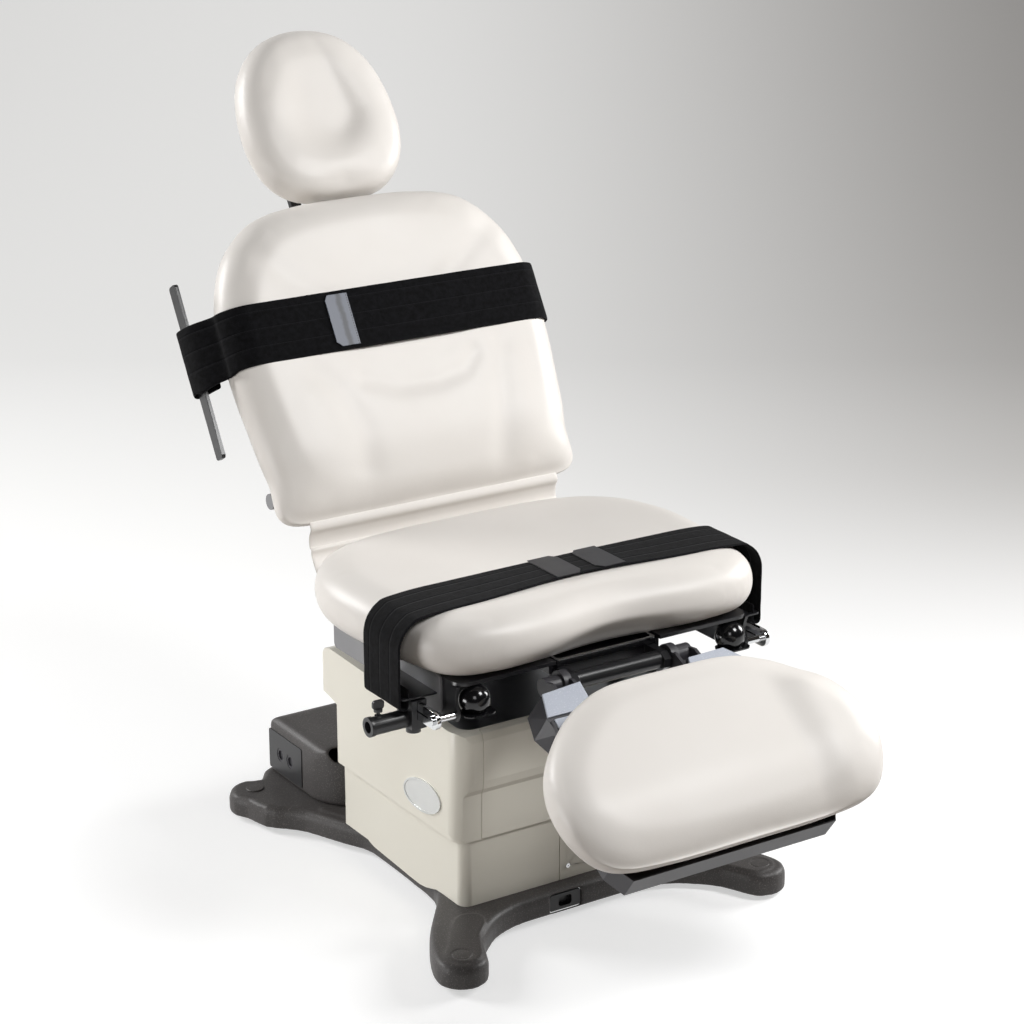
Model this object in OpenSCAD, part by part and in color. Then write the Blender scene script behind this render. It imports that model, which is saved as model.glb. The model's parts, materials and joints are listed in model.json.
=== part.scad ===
// Powered procedure chair: X-shaped base, telescoping lift, seat, reclining back,
// adjustable headrest and folding foot section. Millimetres, +Z up, front towards -Y.

/* [Base] */
// Height of the moulded base cover's top
base_top = 50; // [46:1:58]
// Wall of the base cover
base_wall = 5; // [3:1:8]
// Front foot centre, sideways from the middle
front_foot_x = 301; // [290:1:312]
// Front foot centre, forward of the middle
front_foot_y = 371; // [365:1:385]
// Rear foot centre, sideways from the middle
rear_foot_x = 279; // [270:1:288]
// Rear foot centre, behind the middle
rear_foot_y = 373; // [368:1:385]
// Radius of a leg's round tip
foot_r = 44; // [42:1:48]
// Height of a rubber levelling pad
pad_h = 12; // [9:1:14]
// Radius of a levelling pad
pad_r = 24; // [18:1:28]
// Height of the electronics housing's top
hump_top = 155; // [140:1:170]
// Half width of the electronics housing
hump_x = 213; // [200:1:220]

/* [Shrouds and lift] */
// Half width of the upper shroud
shroud_x = 225; // [222:1:230]
// Front face of the upper shroud, forward of the middle
shroud_front = 247; // [242:1:252]
// Rear face of the upper shroud's lower part
shroud_rear = 165; // [160:1:168]
// Bottom edge of the upper shroud at rest
shroud_bottom = 170; // [160:1:185]
// Top edge of the upper shroud
shroud_top = 372; // [366:1:378]
// Wall of the moulded shrouds
shroud_wall = 3.5; // [2.5:0.5:4]
// Sideways step from the upper shroud to the lower one
shroud_step = 11; // [10:1:13]
// Running gap between telescoping shrouds
shroud_gap = 2; // [1:0.5:3]
// Half side of the outer square lift column
column_half = 75; // [68:1:82]
// Wall of each lift column stage
column_wall = 6; // [4:0.5:8]

/* [Seat] */
// Underside of the seat upholstery
seat_bottom = 503; // [500:1:506]
// Thickness of the seat upholstery
seat_t = 95; // [85:1:105]
// Thickness of the seat's plywood board
board_t = 6; // [5:1:8]
// Half width of the seat frame
frame_x = 286; // [280:1:290]
// Thickness of the seat frame's plates
frame_t = 6; // [4:1:8]
// Bottom edge of the seat frame's side webs
frame_bottom = 438; // [432:1:444]
// Height of the tilt axis
tilt_z = 440; // [436:1:446]
// Tilt axis, behind the middle
tilt_y = 110; // [100:1:115]
// Radius of the tilt shaft
tilt_shaft_r = 10; // [8:1:14]

/* [Back and head] */
// Lean of the back from the vertical
back_lean = 31; // [29:1:33]
// Thickness of the back upholstery
back_t = 96; // [88:1:104]
// Thickness of the back's board
back_board_t = 12; // [9:1:14]
// Depth of the back's rear shell
shell_t = 26; // [22:1:28]
// Recline axis, behind the middle
recline_y = 191; // [188:1:194]
// Height of the recline axis
recline_z = 501; // [499:1:503]
// Radius of the recline shaft
recline_shaft_r = 12; // [10:1:14]
// Length of a side bar on the back
bar_len = 315; // [290:5:330]
// Lean of the head cushion from the vertical
head_lean = 33; // [31:1:35]
// Thickness of the head upholstery
head_t = 81; // [74:1:86]
// Width of each of the head post's two bars
post_w = 20; // [16:1:24]

/* [Foot section] */
// Slope of the foot section below the horizontal
foot_slope = 36; // [30:1:40]
// Foot section's axis, forward of the middle
foot_axis_y = 363; // [361:1:366]
// Height of the foot section's axis
foot_axis_z = 473; // [471:1:474]
// Radius of the foot section's hinge tube
hinge_tube_r = 15; // [13:1:15]
// Thickness of the foot upholstery
foot_t = 86; // [80:1:90]
// Height of the foot section's folded tray
tray_h = 43; // [38:1:44]

/* [Accessories] */
// Length of an accessory rail
rail_len = 150; // [140:1:160]
// Height of an accessory rail
rail_h = 30; // [24:1:32]
// Thickness of an accessory rail
rail_t = 8; // [6:1:10]
// Bore radius of the clamp's socket tube
socket_bore_r = 9.6; // [8:0.1:11]
// Outer radius of the clamp's socket tube
socket_r = 15; // [14:0.5:16]
// Width of the body straps
strap_w = 97; // [80:1:105]
// Thickness of the body straps
strap_t = 3.5; // [2.5:0.5:4]

/* [Hidden] */
$fn = 48;
fit = 0.05;
gap = 0.4;
mid_z = seat_bottom + seat_t / 2;
deck_top = seat_bottom;
web_top = deck_top - frame_t;
lower_x = shroud_x - shroud_step;
lower_front = shroud_front - shroud_step;
lower_rear = shroud_rear - shroud_wall - shroud_gap;
lower_top = 290;
seam_x = -22;
panel_x = 180;
carriage_z = 352;
plate_front = shroud_front - shroud_wall - 8;
plate_rear = 164;
frame_front = -342;
frame_rear = 120;
side_rear = 42;
foot_mid_n = 91;
pad_seat_n = foot_mid_n - foot_t / 2;
tray_out_s = 375;
tray_in_s = 120;
tray_x = 215;
arm_in = 106;
arm_out = 182;
arm_top_n = pad_seat_n - board_t - gap;
knuckle_in = 98;
rail_x = frame_x + 33;
rail_z = 449;
rail_front = -346;
rod_in = 15;
board_n = back_t / 2;
arm_n = board_n + back_board_t;
back_y = 198;
back_z = 610;
recline_s = (recline_y - back_y) * sin(back_lean) + (recline_z - back_z) * cos(back_lean);
recline_n = (recline_z - back_z) * sin(back_lean) - (recline_y - back_y) * cos(back_lean);
bar_left = 349;
bar_right = 319;
bar_low_s = 144;
head_y = 579;
head_z = 1205;
post_n = arm_n + shell_t + 8;
post_t = 12;
post_in = 40;
head_axis_s = 690;
cup_x = 251;
stirrup_z = 472;
stirrup_bar = 20;
pan_bottom = foot_axis_z + hinge_tube_r + 1.5;
pan_x = 96;
pan_h = 10.5;
pan_front = -336;
clamp_y = -263;
socket_z = 431;

anchor_z = 470;
seat_core_x = 307;
strap_side = seat_core_x + seat_t / 2 + 1;
screw_x = strap_side + 29.5;
socket_end = strap_side + 48.5;
slot_in = strap_side - 20;
slot_out = strap_side - 9;
raised = 4;
anchor_edge = strap_side - strap_t / 2 - 0.3;

// Frames of the leaning sections: z runs up the section, y points to its rear
module at_back() {
    translate([0, back_y, back_z]) rotate([-back_lean, 0, 0]) children();
}

module at_head() {
    translate([0, head_y, head_z]) rotate([-head_lean, 0, 0]) children();
}

// Frame on the foot axis: -y runs out along the section and z is its upper normal
module at_foot() {
    translate([0, -foot_axis_y, foot_axis_z]) rotate([foot_slope, 0, 0]) children();
}

module both_sides() {
    children();
    mirror([1, 0, 0]) children();
}

// Rounded rectangle about the origin
module rounded(w, l, r) {
    square([w - 2 * r, l], center = true);
    square([w, l - 2 * r], center = true);
    for (x = [-1, 1], y = [-1, 1])
        translate([x * (w / 2 - r), y * (l / 2 - r)]) circle(r);
}

// Plan with its own corner radius at the front and at the rear
module plan(half, front, rear, front_r, rear_r) {
    for (s = [-1, 1]) {
        translate([s * (half - front_r), front + front_r]) circle(front_r);
        translate([s * (half - rear_r), rear - rear_r]) circle(rear_r);
    }
    polygon([[-half, front + front_r], [front_r - half, front], [half - front_r, front],
        [half, front + front_r], [half, rear - rear_r], [half - rear_r, rear],
        [rear_r - half, rear], [-half, rear - rear_r]]);
}

module box(x0, x1, y0, y1, z0, z1) {
    translate([x0, y0, z0]) cube([x1 - x0, y1 - y0, z1 - z0]);
}

module rod(x0, x1, r) {
    translate([x0, 0, 0]) rotate([0, 90, 0]) cylinder(r = r, h = x1 - x0);
}

// A profile drawn as (y, z), run along x
module along_x(x0, x1) {
    translate([x0, 0, 0]) rotate([90, 0, 90]) linear_extrude(x1 - x0) children();
}

// Smooth closed curves through a few key points
function cubic(a, b, c, d, t) =
    0.5 * (2 * b + (c - a) * t + (2 * a - 5 * b + 4 * c - d) * t * t
           + (3 * b - a - 3 * c + d) * t * t * t);
function loop_curve(p, n) = let (m = len(p))
    [for (i = [0 : m - 1], k = [0 : n - 1])
        cubic(p[(i + m - 1) % m], p[i], p[(i + 1) % m], p[(i + 2) % m], k / n)];
function open_curve(p, n) = let (m = len(p))
    concat([for (i = [0 : m - 2], k = [0 : n - 1])
        cubic(p[max(i - 1, 0)], p[i], p[i + 1], p[min(i + 2, m - 1)], k / n)], [p[m - 1]]);
function mirrored(half) = concat(half,
    [for (i = [len(half) - 1 : -1 : 0]) if (half[i][0] > 0.01) [-half[i][0], half[i][1]]]);
function normal_at(p, i) = let (m = len(p), d = p[(i + 1) % m] - p[(i + m - 1) % m])
    [d[1], -d[0]] / norm(d);
function moved_out(p, out) = [for (i = [0 : len(p) - 1]) p[i] + out * normal_at(p, i)];
function bump(x, wide) = exp(-pow(x / wide, 2));

// Skins a stack of equal rings and closes both ends on their middle points
module skin(rings, low, high) {
    n = len(rings[0]);
    m = len(rings);
    points = concat([low], [for (r = rings) each r], [high]);
    faces = concat(
        [for (i = [0 : n - 1]) [0, 1 + i, 1 + (i + 1) % n]],
        [for (k = [0 : m - 2], i = [0 : n - 1])
            let (a = 1 + k * n + i, b = 1 + k * n + (i + 1) % n) [a, a + n, b + n]],
        [for (k = [0 : m - 2], i = [0 : n - 1])
            let (a = 1 + k * n + i, b = 1 + k * n + (i + 1) % n) [a, b + n, b]],
        [for (i = [0 : n - 1])
            [1 + (m - 1) * n + (i + 1) % n, 1 + (m - 1) * n + i, 1 + m * n]]);
    polyhedron(points, faces);
}

// Upholstery over a core outline: round sides drawn in below, crowned top with relief
module upholstery(core, t, crown, relief) {
    r = t / 2;
    low_draw = 0.94;
    sides = [180, 157, 132, 108, 84, 60, 38, 18];
    inner = [0.98, 0.88, 0.72, 0.52, 0.28];
    function top(p, f) = r + crown * (1 - f * f) + relief(p);
    flat_ring = [for (p = core) [0.6 * p[0], 0.6 * p[1], -r]];
    side_rings = [for (a = sides)
        let (out = moved_out(core, r * sin(a) * (a > 90 ? low_draw : 1)))
        [for (p = out) [p[0], p[1], r * cos(a)]]];
    top_rings = [for (f = inner) [for (p = core) [f * p[0], f * p[1], top(f * p, f)]]];
    skin(concat([flat_ring], side_rings, top_rings), [0, 0, -r], [0, 0, top([0, 0], 0)]);
}

// Flat ribbon of even thickness along a path drawn in the plane
module ribbon(path, t) {
    n = len(path);
    function side(i) = let (d = path[min(i + 1, n - 1)] - path[max(i - 1, 0)])
        [d[1], -d[0]] / norm(d) * t / 2;
    polygon(concat([for (i = [0 : n - 1]) path[i] + side(i)],
                   [for (i = [n - 1 : -1 : 0]) path[i] - side(i)]));
}

// Outline of the base: a broad body with four curved legs ending in round tips
function tip(x, y, r, from, to) =
    [for (a = [from : (to - from) / 5 : to]) [x + r * cos(a), y + r * sin(a)]];
base_half = concat(
    [[0, -270], [60, -270], [118, -271], [152, -278], [183, -291], [212, -314], [240, -344]],
    tip(front_foot_x, -front_foot_y, foot_r, -152, 22),
    [[330, -324], [309, -285], [283, -246], [252, -206], [222, -166], [202, -124], [197, -60],
     [195, 20], [194, 80], [200, 118], [216, 150], [234, 192], [252, 234], [276, 264], [302, 292]],
    tip(rear_foot_x, rear_foot_y, foot_r + 3, -45, 130),
    [[226, 440], [180, 458], [90, 466], [0, 466]]);
base_outline = loop_curve(mirrored(base_half), 2);

module base_cover() color("#4a4644") {
    levels = [[-2.5, 8], [0, 13], [0, base_top - 14], [-3, base_top - 5], [-8, base_top - 1],
              [-14, base_top + 0.4]];
    rings = [for (l = levels) [for (p = moved_out(base_outline, l[0])) [p[0], p[1], l[1]]]];
    difference() {
        intersection() {
            skin(rings, [0, 0, 0], [0, 0, base_top + 20]);
            box(-500, 500, -500, 600, 10, base_top);
        }
        translate([0, 0, -1]) linear_extrude(base_top - base_wall + 1)
            polygon(moved_out(base_outline, -base_wall - 3));
        // opening for the lift column
        translate([0, -20, 0]) linear_extrude(base_top + 1) rounded(300, 250, 12);
        // recess for the foot control socket
        box(-62, 2, -275, -247, 12, 43);
    }
    // round pads on the four tips where the levelling stems come up
    for (s = [-1, 1]) {
        translate([s * front_foot_x, -front_foot_y, base_top - base_wall - 9]) cap_boss();
        translate([s * rear_foot_x, rear_foot_y, base_top - base_wall - 9]) cap_boss();
    }
    both_sides() {
        leg_relief(front_lobe);
        leg_relief(rear_ridge);
    }
}

// Low raised fields on the legs: a long lobe at the front, a ridge ending short of the rear foot
front_lobe = loop_curve([[206, -268], [232, -258], [262, -282], [300, -334], [322, -362], [314, -388],
    [292, -396], [272, -382], [240, -326], [212, -296]], 3);
rear_ridge = loop_curve([[180, 96], [183, 134], [199, 164], [214, 196], [226, 224], [216, 232],
    [190, 212], [160, 190], [150, 140], [152, 100]], 3);

module leg_relief(outline)
    difference() {
        union() {
            translate([0, 0, base_top - 1]) linear_extrude(2.4) polygon(outline);
            translate([0, 0, base_top - 1]) linear_extrude(3.6) polygon(moved_out(outline, -2.5));
        }
        // room for the leg cap and the lower shroud
        translate([front_foot_x, -front_foot_y, base_top]) cylinder(r = 17, h = 5);
        translate([0, 0, base_top]) linear_extrude(5)
            plan(lower_x + gap, -lower_front - gap, lower_rear + gap, 18, 8);
    }

module cap_boss() {
    difference() {
        cylinder(r = 16, h = 9.5);
        translate([0, 0, -1]) cylinder(r = 8, h = 12);
    }
}

module each_foot() {
    for (s = [-1, 1]) {
        translate([s * front_foot_x, -front_foot_y, 0]) children();
        translate([s * rear_foot_x, rear_foot_y, 0]) children();
    }
}

// Steel beam from the middle of the chassis to a foot
module beam(x, y) {
    reach = norm([x, y]);
    rotate([0, 0, atan2(y, x)]) box(60, reach - 8, -16, 16, pad_h + 4, pad_h + 20);
}

module base_frame() color("#3c3c3e") {
    difference() {
        union() {
            for (s = [-1, 1]) {
                beam(s * front_foot_x, -front_foot_y);
                beam(s * rear_foot_x, rear_foot_y);
            }
            each_foot() translate([0, 0, pad_h + 2])
                cylinder(r = 23, h = base_top - base_wall - pad_h - 11);
            translate([0, -20, pad_h + 2]) linear_extrude(base_top - pad_h - 8) rounded(280, 230, 10);
        }
        each_foot() cylinder(r = 6 + fit, h = 60);
    }
}

module levelling_feet() color("#b39a7a")
    each_foot() {
        rotate_extrude() polygon([[0, 0], [pad_r - 2, 0], [pad_r, 3], [pad_r - 3, pad_h - 3],
            [11, pad_h], [0, pad_h]]);
        translate([0, 0, pad_h]) cylinder(r = 6, h = 26);
    }

module leg_caps() color("#55504d")
    each_foot() translate([0, 0, base_top]) rotate_extrude()
        polygon([[0, 0], [16.5, 0], [16.5, 1.2], [15.5, 2.2], [0, 2.8]]);

module foot_control_socket() color("#2b2a2b")
    difference() {
        translate([-30, 0, 28]) rotate([90, 0, 0]) translate([0, 0, 248])
            linear_extrude(18) rounded(62, 29, 4);
        translate([-30, 0, 28]) rotate([90, 0, 0]) translate([0, 0, 256])
            linear_extrude(20) rounded(26, 18, 5);
    }

module electronics_housing() color("#4a4644") {
    front = 200;
    rear = 450;
    difference() {
        hump_body(hump_x, front, rear);
        translate([0, 0, -4]) hump_body(hump_x - 4, front + 4, rear - 5);
        // seat of the outlet plate
        box(-hump_x - 1, -hump_x + 1.5, 314, 436, 56, 132);
        box(-hump_x - 1, -hump_x + 9, 340, 410, 72, 112);
        // scoop in the front corner's top
        translate([-186, 222, hump_top + 4]) sphere(r = 24);
    }
}

module hump_body(half, front, rear) {
    intersection() {
        along_x(-half, half) polygon([[front, base_top], [rear, base_top], [rear - 2, hump_top - 26],
            [rear - 8, hump_top - 12], [rear - 18, hump_top - 4], [rear - 32, hump_top],
            [front, hump_top]]);
        linear_extrude(400) plan(half, front, rear, 80, 26);
        // softened long edges
        rotate([90, 0, 0]) translate([0, 0, -500]) linear_extrude(500)
            polygon(mirrored([[0, 0], [half, 0], [half, hump_top - 22], [half - 4, hump_top - 10],
                [half - 11, hump_top - 3], [half - 22, hump_top], [0, hump_top]]));
    }
}

module power_supply() color("#8a8d90") {
    box(-60, 90, 220, 330, base_top, base_top + 70);
    box(-150, 150, 345, 349, base_top, base_top + 80);
    box(110, 150, 300, 345, base_top, base_top + 40);
}

module outlet_plate() color("#151516")
    difference() {
        translate([-hump_x + 1.5, 375, 94]) rotate([0, -90, 0]) linear_extrude(2.5) rounded(76, 122, 4);
        for (y = [357, 393]) translate([-hump_x + 3, y, 92]) rotate([0, -90, 0]) cylinder(r = 13, h = 8);
    }

module outlets() color("#1d1d1f")
    for (y = [357, 393]) translate([-hump_x + 9, y, 92]) rotate([0, -90, 0]) difference() {
        union() {
            cylinder(r = 12.9, h = 9.2);
            translate([0, 0, 0]) cylinder(r = 14.5, h = 7.4);
        }
        translate([0, 0, 6]) cylinder(r = 9, h = 4);
    }

// Outer or inner form of the lower shroud
module lower_form(inset, low, high) {
    translate([0, 0, low]) linear_extrude(high - low)
        plan(lower_x - inset, -lower_front + inset, lower_rear - inset,
             max(18 - inset, 4), max(8 - inset, 2));
}

// The side walls reach lower beside the base's waist
lower_edge = concat([[-300, lower_top + 2], [-300, base_top], [-172, base_top]],
    open_curve([[-150, base_top - 1], [-130, 43], [-98, 37], [-30, 40], [30, 43], [58, 45],
        [76, base_top]], 2),
    [[300, base_top], [300, lower_top + 2]]);

module lower_shroud() {
    intersection() {
        difference() {
            lower_form(0, base_top - 15, lower_top);
            lower_form(shroud_wall, base_top - 16, lower_top + 1);
        }
        along_x(-400, 400) polygon(lower_edge);
    }
}

module lower_shroud_left() color("#e6e3d6") intersection() {
    lower_shroud();
    box(-400, seam_x - 0.6, -400, 400, 0, 500);
}

module lower_shroud_right() color("#e6e3d6") difference() {
    intersection() {
        lower_shroud();
        box(seam_x + 0.6, 400, -400, 400, 0, 500);
    }
    screw_places() translate([0, 0, -6]) cylinder(r = 2, h = 12);
}

// Frames of the two cover screws, on the front and rear walls, z pointing outwards
module screw_places() {
    translate([seam_x + 17, -lower_front, 74]) rotate([90, 0, 0]) children();
    translate([seam_x + 17, lower_rear, 74]) rotate([-90, 0, 0]) children();
}

module shroud_screws() color("#b8b8b6")
    screw_places() {
        translate([0, 0, -shroud_wall]) cylinder(r = 2 - fit, h = shroud_wall);
        difference() {
            cylinder(r = 4, h = 1.6);
            translate([0, 0, 0.8]) cylinder(r = 1.6, h = 2, $fn = 6);
        }
    }

module square_tube(half, wall, low, high) {
    translate([0, -20, low]) linear_extrude(high - low) difference() {
        rounded(2 * half, 2 * half, 10);
        rounded(2 * (half - wall), 2 * (half - wall), 5);
    }
}

column_step = column_wall + 0.6;
motor_half = column_half - 3 * column_step - column_wall - 8;
second_inset = shroud_wall + shroud_gap;
third_inset = shroud_wall + 2 * shroud_gap + 2.5;

module lift_column_base() color("#707276")
    difference() {
        union() {
            square_tube(column_half - 3 * column_step, column_wall, base_top - 6, lower_top);
            translate([0, -20, base_top - 6]) linear_extrude(6) rounded(220, 200, 8);
        }
        translate([0, -20, base_top - 7]) linear_extrude(20)
            rounded(2 * motor_half + 2, 2 * motor_half + 2, 5);
    }

// Arms at a stage's foot, which carry its shroud
module stage_arms(half, inset, z) {
    both_sides() box(half - 1, lower_x - inset - 2.5 - 0.1, -50, 10, z, z + 4);
}

module lift_column_second() color("#84868a") {
    square_tube(column_half - 2 * column_step, column_wall, 80, 310);
    stage_arms(column_half - 2 * column_step, second_inset, 80);
}

module lift_column_third() color("#84868a") {
    square_tube(column_half - column_step, column_wall, 105, 328);
    stage_arms(column_half - column_step, third_inset, 105);
}

module lift_motor() color("#2f3032") {
    translate([0, -20, base_top - 6]) cylinder(r = motor_half, h = 56);
    translate([0, -20, base_top + 50]) cylinder(r = 10, h = 190);
}

module tube_shroud(inset, low, high) {
    difference() {
        lower_form(inset, low, high);
        lower_form(inset + 2.5, low - 1, high + 1);
    }
}

module middle_shroud_outer() color("#d8d5c8")
    tube_shroud(second_inset, 80, 310);

module middle_shroud_inner() color("#d8d5c8")
    tube_shroud(third_inset, 105, 330);

// Side profile of the upper shroud as (y, z): bowed front band and deep rear shoulder
shoulder_y = 206;
function upper_profile(low) = concat(
    [[-shroud_front + 7, low], [-100, low], [shroud_rear, low], [shroud_rear, 284]],
    [[shroud_rear + 14, 287], [shoulder_y - 6, 292], [shoulder_y, 300], [shoulder_y, 350],
     [shoulder_y - 6, 362], [shoulder_y - 16, shroud_top + 3], [shoulder_y - 34, shroud_top + 8]],
    [[-shroud_front + 14, shroud_top - 6], [-shroud_front + 4, shroud_top - 12]],
    [[-shroud_front, shroud_top - 24], [-shroud_front, 276], [-shroud_front + 2, 262],
     [-shroud_front + 6, 253]]);

module upper_form(half, inset, low) {
    intersection() {
        along_x(-half, half) polygon(moved_out(upper_profile(low), -inset));
        linear_extrude(500) plan(half, -shroud_front + inset, shoulder_y - inset, 32 - inset, 12 - inset);
        union() {
            linear_extrude(284) plan(half, -shroud_front - 40, shroud_rear - inset, 32, 10 - inset);
            box(-half, half, -400, 400, 284, 500);
        }
    }
}

// Raised upper field on each side, bounded below by one long sweeping curve
sweep = open_curve([[shoulder_y + 2, 294], [179, 290], [144, 280], [97, 256], [43, 231], [-11, 210],
    [-63, 197], [-122, 190], [-173, 188], [-212, 182], [-250, 171]], 3);

module upper_shell() {
    difference() {
        union() {
            upper_form(shroud_x, 0, shroud_bottom);
            intersection() {
                upper_form(shroud_x + raised, 0, shroud_bottom);
                along_x(-300, 300) polygon(concat(sweep, [[-260, 171], [-260, 400], [230, 400]]));
            }
        }
        difference() {
            upper_form(shroud_x - shroud_wall, shroud_wall, shroud_bottom - 30);
            box(-300, 300, -300, 300, shroud_top - 9, 500);
        }
        translate([0, 0, 300]) linear_extrude(200) plan(lower_x - 4, -shroud_front + 14, 172, 24, 14);
    }
}

module upper_shroud() color("#e6e3d6")
    difference() {
        upper_shell();
        box(-panel_x - 0.4, panel_x + 0.4, -300, -shroud_front + 12, 100, 500);
        for (s = [-1, 1]) badge_place(s) cylinder(r = 3, h = 30, center = true);
    }

module front_panel() color("#e6e3d6")
    intersection() {
        upper_shell();
        box(-panel_x + 0.5, panel_x - 0.5, -300, -shroud_front + 11.6, 100, 500);
    }

module badge_place(side) {
    translate([side * (shroud_x + raised), -136, 221]) rotate([0, side * 90, 0]) children();
}

// Plain oval trim plate with a raised rim on each side of the upper shroud
module badge_plate() color("#dfe0de")
    for (s = [-1, 1]) badge_place(s) {
        translate([0, 0, -10]) cylinder(r = 3 - fit, h = 10);
        rotate([0, 0, -s * 7]) linear_extrude(1.6) oval(29, 59);
        rotate([0, 0, -s * 7]) linear_extrude(2.6) difference() {
            oval(29, 59);
            oval(25.5, 55.5);
        }
    }

module oval(a, b) {
    polygon([for (t = [0 : 10 : 350]) [a * sin(t), b * cos(t)]]);
}

module lift_column_top() color("#8e9094") {
    square_tube(column_half, column_wall, 130, carriage_z);
    difference() {
        translate([0, (plate_rear - plate_front) / 2, carriage_z]) linear_extrude(8)
            rounded(2 * (shroud_x - shroud_wall - gap), plate_rear + plate_front, 26);
        translate([0, -20, carriage_z - 1]) cylinder(r = 20, h = 12);
    }
}

// Two cheeks on the carriage plate carry the tilt shaft
module tilt_bracket() color("#3a3b3d")
    for (s = [-1, 1]) difference() {
        along_x(s * 126 - 5, s * 126 + 5) difference() {
            union() {
                polygon([[40, carriage_z + 8], [125, carriage_z + 8], [tilt_y + 22, tilt_z],
                    [tilt_y - 22, tilt_z]]);
                translate([tilt_y, tilt_z]) circle(22);
            }
            translate([tilt_y, tilt_z]) circle(tilt_shaft_r + fit);
        }
    }

module tilt_motor() color("#2b2c2e")
    difference() {
        union() {
            translate([0, tilt_y, tilt_z]) rod(24, 120.9, 30);
            box(30, 110, tilt_y - 24, tilt_y + 14, carriage_z + 8, tilt_z - 10);
            translate([0, tilt_y - 40, tilt_z - 36]) rod(36, 104, 20);
        }
        translate([0, tilt_y, tilt_z]) rod(20, 130, tilt_shaft_r + fit);
    }

module rest_bumpers() color("#262626")
    for (s = [-1, 1]) translate([s * 150, -150, carriage_z + 8])
        cylinder(r1 = 16, r2 = 13, h = frame_bottom + 14 - carriage_z - 8);

// Welded seat frame: deck plate, side and inner webs, cross webs and hinge lugs
module seat_frame() color("#1b1b1d")
    difference() {
        union() {
            difference() {
                translate([0, 0, web_top]) linear_extrude(frame_t) difference() {
                    plan(frame_x, frame_front, frame_rear, 24, 8);
                    both_sides() polygon([[frame_x + 1, side_rear], [frame_x + 1, frame_rear + 1],
                        [236, frame_rear + 1], [236, frame_rear - 16]]);
                }
                box(-pan_x - 6, pan_x + 6, frame_front - 1, -56, web_top - 1, deck_top + 1);
            }
            box(15 - knuckle_in, knuckle_in - 15, -326, -320, foot_axis_z - 16, pan_bottom - gap);
            both_sides() {
                side_web();
                box(pan_x + 6, pan_x + 12, -330, frame_rear, pan_bottom - 12, web_top);
                box(pan_x - 4, pan_x + 6, -330, -50, pan_bottom - 5, pan_bottom);
                front_lug();
                recline_lug();
                tilt_lug();
            }
            box(-236, 236, frame_rear - frame_t, frame_rear,
                tilt_z + 35, web_top);
            box(-frame_x + frame_t, frame_x - frame_t, -156, -144, frame_bottom + 14, frame_bottom + 20);
            both_sides() box(150, 162, -156, -144, frame_bottom + 20, web_top);
        }
        translate([0, recline_y, recline_z]) rod(-200, 200, recline_shaft_r + fit);
        translate([0, tilt_y, tilt_z]) rod(-200, 200, tilt_shaft_r + fit);
        translate([0, -foot_axis_y, foot_axis_z]) rod(-200, 200, hinge_tube_r + fit);
    }

module side_web() {
    front = open_curve([[frame_front + 4, web_top], [frame_front + 10, 476],
        [frame_front + 2, 452], [frame_front + 8, frame_bottom]], 5);
    along_x(frame_x - frame_t, frame_x)
        polygon(concat(front, [[side_rear - 20, frame_bottom], [side_rear, frame_bottom + 14],
            [side_rear, web_top]]));
}

module front_lug() {
    along_x(knuckle_in - 16, knuckle_in - 2) polygon([[-foot_axis_y - 6, foot_axis_z - 20],
        [-320, foot_axis_z - 26], [-320, foot_axis_z + 15], [-foot_axis_y - 6, foot_axis_z + 15],
        [-foot_axis_y - 20, foot_axis_z + 6], [-foot_axis_y - 20, foot_axis_z - 8]]);
    box(knuckle_in - 16, pan_x + 6, -326, -320, foot_axis_z - 26, pan_bottom - gap);
}

module recline_lug() {
    along_x(164, 174) union() {
        translate([recline_y, recline_z]) circle(24);
        polygon([[frame_rear - 12, frame_bottom + 24], [recline_y, recline_z - 24],
            [recline_y - 22, recline_z + 2], [frame_rear - 12, web_top - 3]]);
    }
}

module tilt_lug() {
    along_x(136, 146) union() {
        translate([tilt_y, tilt_z]) circle(20);
        polygon([[tilt_y - 40, web_top], [tilt_y - 20, tilt_z], [tilt_y + 10, tilt_z - 4],
            [tilt_y + 10, web_top]]);
    }
}

module tilt_shaft() color("#a9abae")
    translate([0, tilt_y, tilt_z]) rod(-150, 150, tilt_shaft_r);

module recline_shaft() color("#a9abae")
    translate([0, recline_y, recline_z]) rod(-178, 178, recline_shaft_r);

// Cross tube of the foot section, shown as a glossy roll between the arms
module foot_hinge_tube() color("#101012")
    translate([0, -foot_axis_y, foot_axis_z]) difference() {
        rod(-105.5, 105.5, hinge_tube_r);
        rod(-110, 110, hinge_tube_r - 3);
    }

module side_skirts() color("#8a8a8c")
    both_sides() difference() {
        along_x(frame_x, frame_x + 4) difference() {
            translate([-125, (frame_bottom + deck_top) / 2 + 1]) rounded(340, deck_top - frame_bottom - 2, 9);
            for (y = rod_places) translate([y, rail_z]) circle(7);
        }
    }

rod_places = [rail_front + rod_in, rail_front + rail_len - rod_in];

module seat_board() color("#c9a877")
    translate([0, -105, seat_bottom]) linear_extrude(board_t) difference() {
        rounded(520, 400, 60);
        for (s = [-1, 1]) translate([s * 180, 120]) circle(8);
    }

seat_half = [[0, -218], [140, -218], [222, -211], [268, -190], [286, -140], [301, -66],
    [seat_core_x, 30], [298, 92], [268, 150], [212, 186], [130, 200], [0, 201]];

module seat_cushion() color("#e9e5e0") {
    core = loop_curve(mirrored(seat_half), 2);
    relief = function (p) -3 * bump(p[0], 120) * bump(p[1] + 60, 150);
    difference() {
        translate([0, -105, mid_z]) upholstery(core, seat_t, 5, relief);
        // hollow underside over the board
        translate([0, -105, seat_bottom - 1]) linear_extrude(board_t + 1)
            rounded(521, 401, 60.5);
        // shallow arch over the pan
        box(-100, 100, -380, -300, seat_bottom - 1, seat_bottom + 8);
    }
}

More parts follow.
